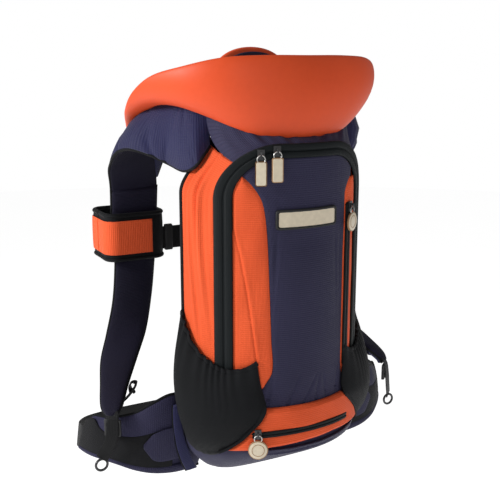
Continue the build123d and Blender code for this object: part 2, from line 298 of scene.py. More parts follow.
def laid_grid(name, across, along, place):
    """A grid primitive whose points are moved to place(u, v); its UVs are in metres."""
    bpy.ops.object.select_all(action="DESELECT")
    bpy.ops.mesh.primitive_grid_add(x_subdivisions=across, y_subdivisions=along, size=1)
    piece = bpy.context.object
    piece.name = name
    for vertex in piece.data.vertices:
        vertex.co = place(vertex.co.x + 0.5, vertex.co.y + 0.5)
    wide = running_length(lambda t: place(t, 0.5), across)
    tall = running_length(lambda t: place(0.5, t), along)
    for corner in piece.data.uv_layers.active.data:
        corner.uv = (wide[round(corner.uv[0] * across)], tall[round(corner.uv[1] * along)])
    return piece


def cloth(name, across, along, place, thick, outside):
    """A sheet of cloth with a wall; place gives its outer face, which looks towards outside."""
    piece = laid_grid(name, across, along, place)
    middle = place(0.5, 0.5)
    over = place(0.51, 0.5) - middle
    up = place(0.5, 0.51) - middle
    flip = over.cross(up).dot(Vector(outside)) < 0
    open_edit(piece)
    if flip:
        bpy.ops.mesh.flip_normals()
    close_edit()
    apply(piece, "SOLIDIFY", thickness=thick, offset=-1, use_even_offset=False)
    return piece


def tube(name, around, along, place):
    """A closed tube: place(u, v) goes round with u and along with v, and both ends are filled."""
    return sealed(laid_grid(name, around, along, place), capped=True)


def belongs(piece, body, slot, material, *nodes):
    """Give a finished piece its material and body, and hide the CAD parts it stands for. The slot argument is not
    used.
    """
    piece.data.materials.clear()
    piece.data.materials.append(material)
    if body == FLAP and min(v.co.z for v in piece.data.vertices) < FOLD:
        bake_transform(piece)
    else:
        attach(piece, body)
    if nodes:
        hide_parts(*nodes)
    return piece


def woven(name, colour, deep, pitch, roughness, strength=0.6, sheen=0.03):
    """Dobby-woven cloth: small staggered lozenges of pitch metres, with slow colour drift."""
    material, tree, shader = paint(name, roughness, Sheen_Weight=sheen, Sheen_Roughness=0.4,
                                   Specular_IOR_Level=0.15)
    place = node(tree, "ShaderNodeTexCoord", {}, out=2)
    parts = node(tree, "ShaderNodeSeparateXYZ", {}, place)
    over, up = parts, Shade(tree, parts.socket.node.outputs[1])
    turn = 2 * pi / pitch
    left = ((over + up * 0.6) * turn).math("SINE")
    right = ((over - up * 0.6) * turn).math("SINE")
    thread = ((over * (turn * 3)).math("SINE") + (up * (turn * 3)).math("SINE")) * 0.2
    relief = left * right + thread
    drift = object_noise(tree, 9.0)
    shade = (relief * 0.30 + drift * 0.7 + 0.15).clamped()
    wire(tree, shader, mix(tree, shade, deep, colour), relief, strength=strength, distance=0.0005)
    return material


ORANGE = woven("orange_ripstop", (0.86, 0.122, 0.035, 1), (0.62, 0.070, 0.018, 1), 0.0036, 0.62)


def gusset_folds(u, z):
    """Soft upright folds, strongest below the yoke and fading towards the pocket."""
    fade = between(z, [(0.12, 0.0), (0.24, 0.5), (0.38, 1.0), (0.44, 0.5)])
    lean = u + 0.12 * sin(z * 14)
    ridges = sin(lean * 21 + z * 6) + 0.6 * sin(lean * 37 - z * 11 + 1)
    return 0.0026 * fade * ridges * sin(pi * min(1, max(0, u)))


GUSSET_FOOT, GUSSET_TOP = 0.088, 0.434


def gusset(side):
    def place(u, v):
        z = GUSSET_FOOT + (GUSSET_TOP - GUSSET_FOOT) * v
        seam = front(side * arch_half(0.119, z), z, 0.001)
        rise = z + 0.022 * v ** 3
        back = Vector((side * back_half(rise), BAG_BACK, rise))
        bulge = 0.006 * sin(pi * u) * (1 - 0.6 * v ** 8) + gusset_folds(u, z)
        return seam.lerp(back, u) + Vector((side * 0.94, -0.34, 0)) * bulge
    name = "right_gusset" if side > 0 else "left_gusset"
    piece = cloth(name, 44, 120, place, 0.0025, (side, -0.3, 0))
    return belongs(piece, PACK, "orange_fabric", ORANGE, "bag_body")


SIDES = ((-1, "left"), (1, "right"))
for side, hand in SIDES:
    gusset(side)


# ---- Collar, back wall and base ----
# Navy cloth closes the bag over the zip and behind the pads.
# The base is a padded navy boot that the bag stands in.
# All three are sewn to the gussets and share the navy cloth.

NAVY = woven("navy_cloth", (0.034, 0.031, 0.072, 1), (0.018, 0.017, 0.042, 1), 0.0036, 0.58, sheen=0.05)
COLLAR_FOOT = 0.434
SADDLE_LINE_Y = [(0, -0.120), (0.4, -0.112), (0.7, -0.092), (0.85, -0.074), (1, -0.046)]
SADDLE_LINE_X = [(0, 0.0), (0.4, 0.052), (0.7, 0.090), (0.85, 0.104), (1, 0.113)]
SADDLE_LINE_Z = [(0, 0.468), (0.4, 0.473), (0.7, 0.486), (0.85, 0.494), (1, 0.502)]


def collar():
    def place(u, v):
        turn = (1 - 2 * v)
        corner = 0.119 - ARCH_STRAIGHT
        start = (COLLAR_FOOT - ARCH_SPRING) / corner
        sweep = pi / 2 - asin(start)
        ring = corner * sweep
        run = abs(turn) * (ARCH_STRAIGHT + ring)
        side = -1 if turn > 0 else 1
        if run < ARCH_STRAIGHT:
            x, z = side * run, ARCH_SPRING + corner
        else:
            a = (run - ARCH_STRAIGHT) / corner
            x, z = side * (ARCH_STRAIGHT + corner * sin(a)), ARCH_SPRING + corner * cos(a)
        seam = front(x, z, 0.001)
        t = abs(turn)
        top = Vector((side * through(t, SADDLE_LINE_X), through(t, SADDLE_LINE_Y), through(t, SADDLE_LINE_Z)))
        sag = Vector((side * 0.008 * t * t, 0.030 * t ** 3 - 0.003, 0.004 - 0.020 * t ** 3))
        puff = sin(pi * u) * (0.0014 * sin(t * 23) + 0.001 * sin(t * 41 + 2))
        return seam.lerp(top, u) + sag * (2 * u * (1 - u)) + Vector((side * 0.3 * t, -0.5, 0.6)) * puff
    piece = cloth("top_collar_cloth", 30, 120, place, 0.003, (0, -0.2, 1))
    belongs(piece, PACK, "navy_fabric", NAVY, "top_collar")
    def deck_place(u, v):
        t = 2 * v - 1
        edge = Vector((t * 0.100, through(abs(t), SADDLE_LINE_Y) + 0.004, 0.464))
        back = Vector((t * 0.104, BAG_BACK, 0.462))
        return edge.lerp(back, u)
    deck = cloth("top_deck", 12, 60, deck_place, 0.003, (0, 0, 1))
    return belongs(deck, PACK, "navy_fabric", NAVY, "bag_body")


def back_wall():
    def place(u, v):
        x = (2 * u - 1)
        z = -0.020 + 0.482 * v
        half = min(back_half(z), between(z, [(-0.02, 0.118), (0.02, 0.141)]))
        return Vector((x * half, BAG_BACK + 0.001, z))
    piece = cloth("back_wall", 24, 60, place, 0.002, (0, 1, 0))
    return belongs(piece, PACK, "navy_fabric", NAVY, "bag_body")


def bag_ring(turn, grow=0.0):
    """Point of the bag's closed outline at an angle: front half round, back nearly flat."""
    x, y = (BAG_HALF + grow) * cos(turn), sin(turn)
    return Vector((x, BAG_BACK + (0.119 + grow) * y if y < 0 else BAG_BACK + 0.004 * y, 0))


def base():
    centre = Vector((0, -0.074, 0))
    def place(u, v):
        turn = 2 * pi * u
        a = v * pi / 2
        shrink = max(0.0, cos(a)) ** 0.5
        crease = 0.0006 * sin(turn * 17) * sin(2 * a)
        point = centre + (bag_ring(turn, 0.0035 + crease) - centre) * shrink
        depth = 0.013 + min(0.052, 0.56 * max(0, point.y + 0.140))
        return Vector((point.x, point.y, 0.013 - depth * sin(a) ** 1.1))
    piece = sealed(laid_grid("base_boot", 120, 28, place))
    apply(piece, "SOLIDIFY", thickness=0.003, offset=-1, use_even_offset=False)
    return belongs(piece, PACK, "navy_fabric", NAVY, "base_panel")


def bag_foot():
    """Navy wall round the foot of the bag, below the gussets and behind the pockets."""
    def place(u, v):
        z = 0.003 + (GUSSET_FOOT - 0.001) * v
        turn = 0.01 + (pi - 0.02) * u
        sides = between(abs(turn - pi / 2), [(0.75, 0), (1.1, 1)])
        swell = (0.004 * sin(pi * v) + 0.0005 * sin(turn * 40) * sin(pi * v)) * sides
        return bag_ring(-turn, 0.0015 + swell) + Vector((0, 0.003 * (1 - sides), z))
    piece = cloth("foot_wall", 120, 24, place, 0.0025, (0, -1, 0))
    return belongs(piece, PACK, "navy_fabric", NAVY, "bag_body")


collar()
back_wall()
base()
bag_foot()


# ---- Front panels ----
# The zipped front is a navy centre panel between two orange strips, sewn edge to edge.
# Its foot is held behind the side pockets, so it folds down at the mouths of the pockets.
# The navy cloth is pleated at its foot and tucked below the label.

FRONT_FOOT = 0.0705
NAVY_LEFT = [(0.070, -0.071), (0.100, -0.069), (0.112, -0.062), (0.132, -0.0515), (0.180, -0.053),
             (0.260, -0.056), (0.340, -0.060), (0.380, -0.066), (0.402, -0.078), (0.420, -0.094)]
NAVY_RIGHT = [(0.070, 0.076), (0.098, 0.079), (0.114, 0.074), (0.130, 0.0725), (0.380, 0.0725),
              (0.394, 0.077), (0.408, 0.088)]
ZIP_INNER = 0.1015


def edge_dip(u, reach):
    """Puckered dip beside a sewn edge, u being the distance from it in metres."""
    return -0.0011 * bump_at(u, 0, reach)


def navy_relief(x, z):
    pleats = 0.0
    for at, lean in ((-0.060, 0.2), (-0.030, 0.35), (-0.006, 0.5), (0.018, 0.1), (0.040, -0.25), (0.058, 0.1)):
        line = at + lean * (z - 0.075)
        pleats += bump_at(x, line, 0.0026) * between(z, [(0.072, 1.0), (0.105, 0.7), (0.135, 0.0)])
    tucks = 0.0
    for at, lean, low in ((-0.046, -0.05, 0.20), (0.050, 0.04, 0.16), (0.060, 0.03, 0.12)):
        tucks += bump_at(x, at + lean * (0.34 - z), 0.003) * between(z, [(low, 0), (0.30, 1), (0.345, 0.2)])
    swell = 0.0022 * cos(x * 26) * between(z, [(0.07, 0), (0.12, 1), (0.29, 1), (0.33, 0)])
    return swell - 0.0021 * pleats - 0.0012 * tucks


def navy_panel():
    def place(u, v):
        z = FRONT_FOOT + (0.4400 - FRONT_FOOT) * v
        left = max(through(z, NAVY_LEFT), -arch_half(ZIP_INNER, z))
        right = min(through(z, NAVY_RIGHT), arch_half(ZIP_INNER, z))
        x = left + (right - left) * u
        side = min(x - left, right - x)
        return front(x, z, 0.0006 + navy_relief(x, z) + edge_dip(side, 0.003))
    piece = cloth("navy_front_panel", 90, 170, place, 0.003, (0, -1, 0))
    return belongs(piece, FLAP, "navy_fabric", NAVY, "flap_centre_panel", "lower_front_panels")


def seam_dip(x, z):
    """Curved seam inside the left strip, from the zip down towards the pocket."""
    line = through(z, [(0.100, -0.066), (0.145, -0.0725), (0.220, -0.081), (0.300, -0.092), (0.345, -0.102)])
    return -0.0013 * bump_at(x, line, 0.0013) + 0.0006 * bump_at(x, line + 0.004, 0.003)


def orange_strip(side):
    knots = NAVY_LEFT if side < 0 else NAVY_RIGHT
    top = 0.419 if side < 0 else 0.405
    foot = 0.104 if side < 0 else 0.100
    def place(u, v):
        z = foot + (top - foot) * v
        inner = through(z, knots)
        outer = side * arch_half(ZIP_INNER, z)
        if side * outer < side * inner:
            outer = inner
        x = inner + (outer - inner) * u
        gap = min(abs(x - inner), abs(outer - x))
        extra = seam_dip(x, z) if side < 0 else 0
        wave = 0.0007 * sin(z * 60 + u * 5) * sin(pi * u)
        return front(x, z, 0.0016 * sin(pi * u) + wave + edge_dip(gap, 0.003) + extra)
    name = "left_orange_strip" if side < 0 else "right_orange_strip"
    piece = cloth(name, 44, 150, place, 0.003, (0, -1, 0))
    node_name = "left_flap_side_panel" if side < 0 else "right_flap_side_panel"
    return belongs(piece, FLAP, "orange_fabric", ORANGE, node_name)


navy_panel()
orange_strip(-1)
orange_strip(1)


# ---- Main zip ----
# A black coil zip in two wide tapes arches over the front.
# The outer tape is sewn to the bag and the inner one to the flap.
# Their folded edges almost meet over the teeth.


def ribbed(name, colour, deep, pitch, roughness, strength=0.4):
    """Narrow woven tape with ribs across it, one to each pitch metres of length."""
    material, tree, shader = paint(name, roughness, Specular_IOR_Level=0.15)
    place = node(tree, "ShaderNodeTexCoord", {}, out=2)
    parts = node(tree, "ShaderNodeSeparateXYZ", {}, place)
    over, up = parts, Shade(tree, parts.socket.node.outputs[1])
    rib = (up * (2 * pi / pitch)).math("SINE")
    cord_line = (over * (2 * pi / (pitch * 1.5))).math("SINE") * 0.5
    relief = rib + cord_line
    drift = object_noise(tree, 14.0)
    shade = (relief * 0.15 + drift * 0.6 + 0.2).clamped()
    wire(tree, shader, mix(tree, shade, deep, colour), relief, strength=strength, distance=0.0003)
    return material


TAPE_BLACK = ribbed("zip_tape_black", (0.006, 0.009, 0.010, 1), (0.003, 0.004, 0.005, 1), 0.0012, 0.55)


def squared(turn, power):
    """Rounded-square section: cosine and sine pushed towards their corners."""
    c, s = cos(turn), sin(turn)
    return (abs(c) ** power * (1 if c > 0 else -1), abs(s) ** power * (1 if s > 0 else -1))


def arch_run(half, foot, t):
    """Place in x and z and outward direction at t from 0 (left foot) to 1 (right foot) of an arch."""
    radius = half - ARCH_STRAIGHT
    leg, bend = ARCH_SPRING - foot, radius * pi / 2
    whole = 2 * (leg + bend + ARCH_STRAIGHT)
    run = t * whole
    side = -1 if run < whole / 2 else 1
    run = min(run, whole - run)
    if run < leg:
        return side * half, foot + run, side, 0.0
    if run < leg + bend:
        a = (run - leg) / radius
        return (side * (ARCH_STRAIGHT + radius * cos(a)), ARCH_SPRING + radius * sin(a), side * cos(a), sin(a))
    return side * (ARCH_STRAIGHT - (run - leg - bend)), ARCH_SPRING + radius, 0.0, 1.0


def arch_tape(name, half, wide, foot, steps):
    def place(u, v):
        x, z, out_x, out_z = arch_run(half, foot, v)
        c, s = squared(2 * pi * u, 0.8)
        shift = c * wide / 2
        return front(x + out_x * shift, z + out_z * shift, 0.0008 + 0.0021 * s)
    return tube(name, 16, steps, place)


belongs(arch_tape("zip_outer_tape", 0.1162, 0.0098, 0.060, 220), PACK, "zip_tape", TAPE_BLACK, "bag_zip_tape")
belongs(arch_tape("zip_inner_tape", 0.1058, 0.0092, 0.072, 220), FLAP, "zip_tape", TAPE_BLACK, "flap_zip_tape")


def zip_teeth():
    def place(u, v):
        x, z, out_x, out_z = arch_run(0.111, 0.066, v)
        c, s = cos(2 * pi * u), sin(2 * pi * u)
        return front(x + out_x * 0.0016 * c, z + out_z * 0.0016 * c, 0.0004 + 0.001 * s)
    piece = tube("zip_teeth", 8, 260, place)
    return belongs(piece, PACK, "zip_tape", TAPE_BLACK)


zip_teeth()


# ---- Side zip ----
# A hidden pocket opens behind a short upright zip beside the navy panel.
# Its two tapes are sewn between the navy and the orange cloth.

SIDE_ZIP_X, SIDE_ZIP_LOW, SIDE_ZIP_HIGH = 80 * MM, 118 * MM, 369 * MM


def upright_tape(name, x, wide, lift, deep):
    def place(u, v):
        c, s = squared(2 * pi * u, 0.7)
        z = SIDE_ZIP_LOW + (SIDE_ZIP_HIGH - SIDE_ZIP_LOW) * v
        round_end = sqrt(max(0, 1 - max(0, abs(2 * v - 1) - 0.97) ** 2 / 0.0009))
        return front(x + c * wide / 2 * round_end, z, lift + deep * s * round_end)
    return belongs(tube(name, 14, 110, place), FLAP, "zip_tape", TAPE_BLACK, "side_zip")


upright_tape("side_zip_left_tape", SIDE_ZIP_X - 3.3 * MM, 5.6 * MM, 0.0012, 0.0019)
upright_tape("side_zip_right_tape", SIDE_ZIP_X + 3.3 * MM, 5.6 * MM, 0.0012, 0.0019)
upright_tape("side_zip_teeth", SIDE_ZIP_X, 2.4 * MM, 0.0005, 0.0012)


# ---- Lower pocket ----
# A curved orange pocket stands proud of the foot of the bag, with its own level zip.
# Its cloth is sewn all round to the bag and tucked under the side pockets.

LOWER_LEFT = [(-0.006, -0.094), (0.011, -0.108), (0.030, -0.089), (0.060, -0.068), (0.080, -0.0605)]
LOWER_RIGHT = [(-0.006, 0.100), (0.015, 0.118), (0.044, 0.103), (0.075, 0.0735), (0.080, 0.071)]


def straight_between(value, knots):
    """Broken line through (place, height) pairs."""
    if value <= knots[0][0]:
        return knots[0][1]
    for (a, low), (b, high) in zip(knots, knots[1:]):
        if value <= b:
            return low + (high - low) * (value - a) / (b - a)
    return knots[-1][1]


def lower_foot(x):
    return straight_between(x, [(-0.108, 0.0095), (-0.080, 0.012), (-0.052, 0.0165), (0.0, 0.0205),
                                (0.050, 0.0215), (0.118, 0.0145)])


def lower_zip_z(x):
    return 0.0375 + 0.004 * cos(x * 18)


def lower_pocket():
    def place(u, v):
        spread = straight_between(v, [(0, 0.010), (0.30, 0.030), (0.74, 0.060), (1, 0.079)])
        left, right = straight_between(spread, LOWER_LEFT), straight_between(spread, LOWER_RIGHT)
        x = left + (right - left) * u
        foot = lower_foot(x)
        z = foot + (0.0785 - foot) * v
        edge = min(min(u, 1 - u) * (right - left), min(v, 1 - v) * 0.065)
        raised = 0.0078 * min(1, edge / 0.006) ** 0.5
        slit = -0.0022 * bump_at(z, lower_zip_z(x), 0.0042) * between(abs(x), [(0.074, 1), (0.084, 0)])
        soft = 0.0008 * sin(x * 70 + z * 40) * sin(pi * v)
        return front(x, z, 0.0012 + raised + slit + soft)
    piece = cloth("lower_pocket", 120, 60, place, 0.002, (0, -1, 0))
    return belongs(piece, PACK, "orange_fabric", ORANGE, "lower_panel")


def level_tape(name, shift, wide, lift, deep):
    def place(u, v):
        c, s = squared(2 * pi * u, 0.7)
        x = 0.079 * (2 * v - 1)
        round_end = sqrt(max(0, 1 - max(0, abs(2 * v - 1) - 0.96) ** 2 / 0.0016))
        return front(x, lower_zip_z(x) + shift + c * wide / 2 * round_end, lift + deep * s * round_end)
    return belongs(tube(name, 14, 90, place), PACK, "zip_tape", TAPE_BLACK, "bottom_zip")


lower_pocket()
level_tape("lower_zip_upper_tape", 2.6 * MM, 4.6 * MM, 0.0080, 0.0016)
level_tape("lower_zip_lower_tape", -2.6 * MM, 4.6 * MM, 0.0080, 0.0016)
level_tape("lower_zip_teeth", 0, 2.0 * MM, 0.0076, 0.0010)


# ---- Side pockets ----
# A stretch-knit pocket bulges from each lower corner of the bag.
# Its mouth slopes down from the back and is gathered by a thick rolled elastic.
# It is sewn in at the back seam, along the base and down the edge of the lower pocket.


def knitted(name, colour, deep, rib, roughness):
    """Stretch knit: fine upright ribs of one rib in metres, crossed by tiny stitches."""
    material, tree, shader = paint(name, roughness, Sheen_Weight=0.03, Sheen_Roughness=0.35,
                                   Specular_IOR_Level=0.12)
    place = node(tree, "ShaderNodeTexCoord", {}, out=2)
    parts = node(tree, "ShaderNodeSeparateXYZ", {}, place)
    over, up = parts, Shade(tree, parts.socket.node.outputs[1])
    ribs = (over * (2 * pi / rib)).math("SINE")
    loops = ((up * (2 * pi / (rib * 0.8))) + ribs * 0.8).math("SINE") * 0.6
    relief = ribs + loops
    drift = object_noise(tree, 16.0)
    shade = (relief * 0.14 + drift * 0.7 + 0.1).clamped()
    wire(tree, shader, mix(tree, shade, deep, colour), relief, strength=0.4, distance=0.0003)
    return material


STRETCH = knitted("stretch_knit", (0.0095, 0.010, 0.012, 1), (0.004, 0.0045, 0.005, 1), 0.0013, 0.7)
POCKET_FRONT = [(0.008, 0.112), (0.012, 0.108), (0.030, 0.090), (0.045, 0.079), (0.061, 0.067),
                (0.079, 0.0605), (0.095, 0.063), (0.111, 0.067), (0.152, 0.073)]
RIGHT_POCKET_FRONT = [(0.008, 0.122), (0.014, 0.118), (0.037, 0.103), (0.055, 0.088), (0.073, 0.072),
                      (0.085, 0.069), (0.107, 0.071), (0.152, 0.077)]
POCKET_RIM = [(0, 0.208), (0.12, 0.188), (0.3, 0.160), (0.5, 0.143), (0.66, 0.134), (0.8, 0.135),
              (0.9, 0.139), (1, 0.147)]
POCKET_FOOT = [(0, 0.060), (0.12, 0.030), (0.3, 0.006), (0.6, -0.003), (0.85, 0.000), (1, 0.0095)]


def pocket_point(side, u, v, lift=0.0):
    foot, rim = through(u, POCKET_FOOT), through(u, POCKET_RIM)
    z = foot + (rim - foot) * v
    reach = through(z, RIGHT_POCKET_FRONT if side > 0 else POCKET_FRONT) / 0.142
    turn = 0.02 + (pi / 2 - asin(reach) - 0.02) * u
    middle = sin(pi * min(1, max(0, v)) ** 0.8) ** 0.8
    across = sin(pi * u ** 0.6) ** 0.6 if 0 < u < 1 else 0
    bulge = 0.029 * middle * across + 0.006 * v ** 3 * across
    over_panel = 0.0085 * between(u, [(0.88, 0), (0.97, 1)]) * between(z, [(0.070, 1), (0.100, 0)])
    gather = 0.0011 * sin(2 * pi * (u * 12 + 0.5 * sin(u * 11) + 0.2 * v)) * (v ** 7 + 0.25 * v ** 2)
    foot_tucks = 0.0006 * sin(2 * pi * (u * 7 + 0.3 * sin(u * 9))) * (1 - v) ** 3
    grow = 0.0022 + bulge + max(over_panel - bulge, 0) + (gather + foot_tucks) * across + lift
    out = Vector((cos(turn) / 0.142, -sin(turn) / 0.120, 0)).normalized()
    point = Vector((0.142 * cos(turn), -0.020 - 0.120 * sin(turn), z)) + out * grow
    return Vector((side * point.x, point.y, point.z))


def strand(name, path, face, half_wide, half_deep, around, steps, power=1.0, closed=False):
    """Strip or cord along path(t), lying flat against face(t); equal halves make it round."""
    def place(u, v):
        step = 0.002
        low, high = (v - step, v + step) if closed else (max(0, v - step), min(1, v + step))
        ahead = (path(high) - path(low)).normalized()
        out = face(v)
        out = (out - ahead * out.dot(ahead)).normalized()
        across = ahead.cross(out)
        c, s = squared(2 * pi * u, power)
        return path(v) + across * (c * half_wide) + out * (s * half_deep)
    return tube(name, around, steps, place)


def side_pocket(side, name):
    def place(u, v):
        return pocket_point(side, u, v)
    piece = cloth(name + "_side_pocket_knit", 110, 54, place, 0.0018, (side * 0.7, -0.7, 0))
    belongs(piece, PACK, "stretch_mesh", STRETCH, name + "_side_pocket")
    def mouth(t):
        return pocket_point(side, t, 1, -0.001)
    rim = strand(name + "_pocket_elastic", mouth, lambda t: Vector((0, 0, 1)), 0.0022, 0.0042, 12, 150)
    belongs(rim, PACK, "stretch_mesh", STRETCH)


for side, hand in SIDES:
    side_pocket(side, hand)


# ---- Label, sliders and pulls ----
# A moulded cream label with a black edge is stuck across the navy panel.
# Two oblong tags hang from the main zip's sliders and a round pendant from each small zip.
# The sliders are black enamel, the rings plain steel and the tags domed enamel on tan card.


def enamelled(name, colour, roughness, coat):
    """Smooth coloured enamel with faint clouding and fine scratches under a clear coat."""
    material, tree, shader = paint(name, roughness, Coat_Weight=coat, Coat_Roughness=0.08)
    cloud = object_noise(tree, 160.0)
    scratch = object_noise(tree, 900.0, 2.0, (1, 1, 0.1))
    deep = tuple(c * 0.72 for c in colour[:3]) + (1,)
    rough = scratch * 0.18 + (roughness - 0.06)
    wire(tree, shader, mix(tree, cloud, deep, colour), scratch, rough, strength=0.08, distance=0.0002)
    return material


def bare_metal(name, colour, roughness, grain=(1, 1, 0.08)):
    """Uncoated metal with a drawn grain and dulled patches."""
    material, tree, shader = paint(name, roughness, Metallic=1.0)
    brush = object_noise(tree, 700.0, 2.0, grain)
    patch = object_noise(tree, 60.0)
    deep = tuple(c * 0.7 for c in colour[:3]) + (1,)
    rough = brush * 0.15 + patch * 0.2 + (roughness - 0.12)
    wire(tree, shader, mix(tree, patch, deep, colour), brush, rough, strength=0.1, distance=0.0002)
    return material


CREAM = enamelled("cream_enamel", (0.72, 0.62, 0.46, 1), 0.4, 0.5)
TAN = enamelled("tan_edge", (0.38, 0.22, 0.11, 1), 0.55, 0.1)
BLACK_ENAMEL = enamelled("black_enamel", (0.018, 0.018, 0.02, 1), 0.38, 0.3)
LABEL_BLACK = enamelled("label_edge", (0.004, 0.004, 0.005, 1), 0.6, 0.0)
STEEL = bare_metal("steel", (0.66, 0.65, 0.63, 1), 0.3)


def recoat(node_name, material):
    """A CAD part that keeps its shape and gets a finish of its own."""
    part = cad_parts[node_name]
    part.data.materials.clear()
    part.data.materials.append(material)


recoat("label_border", LABEL_BLACK)
recoat("label_plate", CREAM)


def on_front(x, z, out):
    """Local axes on the curved front: x along the face, y up, z outwards."""
    turn = asin(x / FRONT_R)
    origin = front(x, z, out)
    return Matrix(((cos(turn), 0, sin(turn), origin.x), (sin(turn), 0, -cos(turn), origin.y),
                   (0, 1, 0, origin.z), (0, 0, 0, 1)))


def settled(piece, matrix):
    """Move a piece made about the origin to its place, with the place kept in its mesh."""
    piece.data.transform(piece.matrix_basis)
    piece.matrix_basis = Matrix.Identity(4)
    piece.data.transform(matrix)
    return piece


def added(kind, name, **settings):
    bpy.ops.object.select_all(action="DESELECT")
    getattr(bpy.ops.mesh, "primitive_" + kind + "_add")(**settings)
    piece = bpy.context.object
    piece.name = name
    bpy.ops.object.transform_apply(location=True, rotation=True, scale=True)
    return piece


def round_corners(block, axis, least, offset, segments):
    """Bevel the edges of a block that run along one axis and are longer than least."""
    open_edit(block)
    bpy.ops.mesh.select_all(action="DESELECT")
    bpy.ops.object.mode_set(mode="OBJECT")
    for edge in block.data.edges:
        a, b = (block.data.vertices[i].co for i in edge.vertices)
        edge.select = abs(a[axis] - b[axis]) > least
    bpy.ops.object.mode_set(mode="EDIT")
    bpy.ops.mesh.select_mode(type="EDGE")
    bpy.ops.mesh.bevel(offset=offset, segments=segments)
    close_edit()


def ring_and_plate(name, x, z, out, round_plate):
    seat = on_front(x, z, out)
    ring_r, pivot = 5.5 * MM, 5.2 * MM
    ring = added("torus", name + "_ring", major_radius=ring_r, minor_radius=0.85 * MM,
                 major_segments=40, minor_segments=12, location=(0, -ring_r, pivot))
    close_edit_free(ring, 60)
    settled(ring, seat)
    belongs(ring, name, "steel", STEEL, name)
    top = -2 * ring_r + 3 * MM
    if round_plate:
        radius = 14.5 * MM
        back = added("cylinder", name + "_backing", vertices=64, radius=radius, depth=2.6 * MM,
                     location=(0, top - radius, pivot - 0.2 * MM))
        dome = added("cylinder", name + "_dome", vertices=64, radius=radius - 1.4 * MM, depth=1.4 * MM,
                     location=(0, top - radius, pivot + 1.1 * MM))
        line = added("torus", name + "_line", major_radius=radius * 0.62, minor_radius=0.45 * MM,
                     major_segments=48, minor_segments=8, location=(0, top - radius, pivot + 1.8 * MM))
    else:
        wide, tall = 16 * MM, 34 * MM
        back = added("cube", name + "_backing", size=1, scale=(wide, tall, 2.6 * MM),
                     location=(0, top - tall / 2, pivot - 0.2 * MM))
        dome = added("cube", name + "_dome", size=1, scale=(wide - 2.6 * MM, tall - 2.6 * MM, 1.4 * MM),
                     location=(0, top - tall / 2, pivot + 1.1 * MM))
        line = None
        for plate, corner in ((back, 3 * MM), (dome, 2 * MM)):
            round_corners(plate, 2, 1 * MM, corner, 6)
    for plate, material, tag_slot in ((back, TAN, "tag_cream"), (dome, CREAM, "tag_cream"), (line, TAN, "tag_cream")):
        if plate is None:
            continue
        if plate is not line:
            apply(plate, "BEVEL", width=0.5 * MM, segments=3, limit_method="ANGLE", angle_limit=radians(50))
        close_edit_free(plate, 50)
        settled(plate, seat)
        belongs(plate, name, tag_slot, material)


def close_edit_free(piece, angle):
    bpy.ops.object.select_all(action="DESELECT")
    piece.select_set(True)
    bpy.context.view_layer.objects.active = piece
    bpy.ops.object.shade_smooth_by_angle(angle=radians(angle))


def label_rim():
    """Raised black bead round the label's plate."""
    half, tall, corner = 0.0472, 0.0122, 0.004
    legs = [(half - corner, tall - corner, 0), (corner - half, tall - corner, pi / 2),
            (corner - half, corner - tall, pi), (half - corner, corner - tall, 3 * pi / 2)]
    outline = [(x + corner * cos(a + k * pi / 12), z + corner * sin(a + k * pi / 12))
               for x, z, a in legs for k in range(7)]
    def path(t):
        place = (t % 1) * len(outline)
        i = int(place) % len(outline)
        a, b = outline[i], outline[(i + 1) % len(outline)]
        part = place - int(place)
        return front(a[0] + (b[0] - a[0]) * part, 0.355 + a[1] + (b[1] - a[1]) * part, 0.0024)
    def face(t):
        turn = asin(path(t).x / FRONT_R)
        return Vector((sin(turn), -cos(turn), 0))
    rim = strand("label_rim", path, face, 0.0021, 0.0017, 12, 28 * 6, closed=True)
    return belongs(rim, FLAP, "label_black", LABEL_BLACK)


label_rim()

LEFT_PULL_X, RIGHT_PULL_X, ZIP_TOP = -68 * MM, -48 * MM, 450 * MM
LEAN = sqrt(0.068 ** 2 - (0.111 - 0.068 + LEFT_PULL_X) ** 2)
ring_and_plate("main_left_pull", LEFT_PULL_X, ARCH_SPRING + LEAN, 2.9 * MM, False)
ring_and_plate("main_right_pull", RIGHT_PULL_X, ZIP_TOP, 2.9 * MM, False)
ring_and_plate("side_pull", 82 * MM, 362 * MM, 1.9 * MM, True)
ring_and_plate("bottom_pull", -71 * MM, 41 * MM, 8.8 * MM, True)


def softened(node_name, body, slot, material, width):
    """A moulded part: the CAD part's own shape with its edges rounded."""
    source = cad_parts[node_name]
    piece = bpy.data.objects.new(node_name + "_moulding", source.data.copy())
    bpy.context.collection.objects.link(piece)
    open_edit(piece)
    bpy.ops.mesh.remove_doubles(threshold=0.00002)
    bpy.ops.mesh.dissolve_limited(angle_limit=radians(3))
    close_edit(40)
    apply(piece, "BEVEL", width=width, segments=3, limit_method="ANGLE", angle_limit=radians(40))
    close_edit_free(piece, 40)
    return belongs(piece, body, slot, material, node_name)


for slider in ("main_left_slider", "main_right_slider", "side_slider", "bottom_slider"):
    softened(slider, slider, "black_metal", BLACK_ENAMEL, 0.5 * MM)


# ---- Saddle ----
# The child sits astride a moulded foam saddle, orange all through, with a satin skin.
# Its wall rises behind the child and runs forward over both shoulders to two turned-down tips.
# The wall is one moulding with the dished floor, and carries a thin padded lining.


def spline(points, t):
    """Point at t (0..1) of a smooth curve through points."""
    count = len(points) - 1
    place = min(max(t, 0), 1) * count
    i = min(int(place), count - 1)
    f = place - i
    p1, p2 = points[i], points[i + 1]
    p0 = points[i - 1] if i else p1 * 2 - p2
    p3 = points[i + 2] if i + 2 <= count else p2 * 2 - p1
    return 0.5 * (2 * p1 + (p2 - p0) * f + (2 * p0 - 5 * p1 + 4 * p2 - p3) * f ** 2
                  + (3 * p1 - p0 - 3 * p2 + p3) * f ** 3)


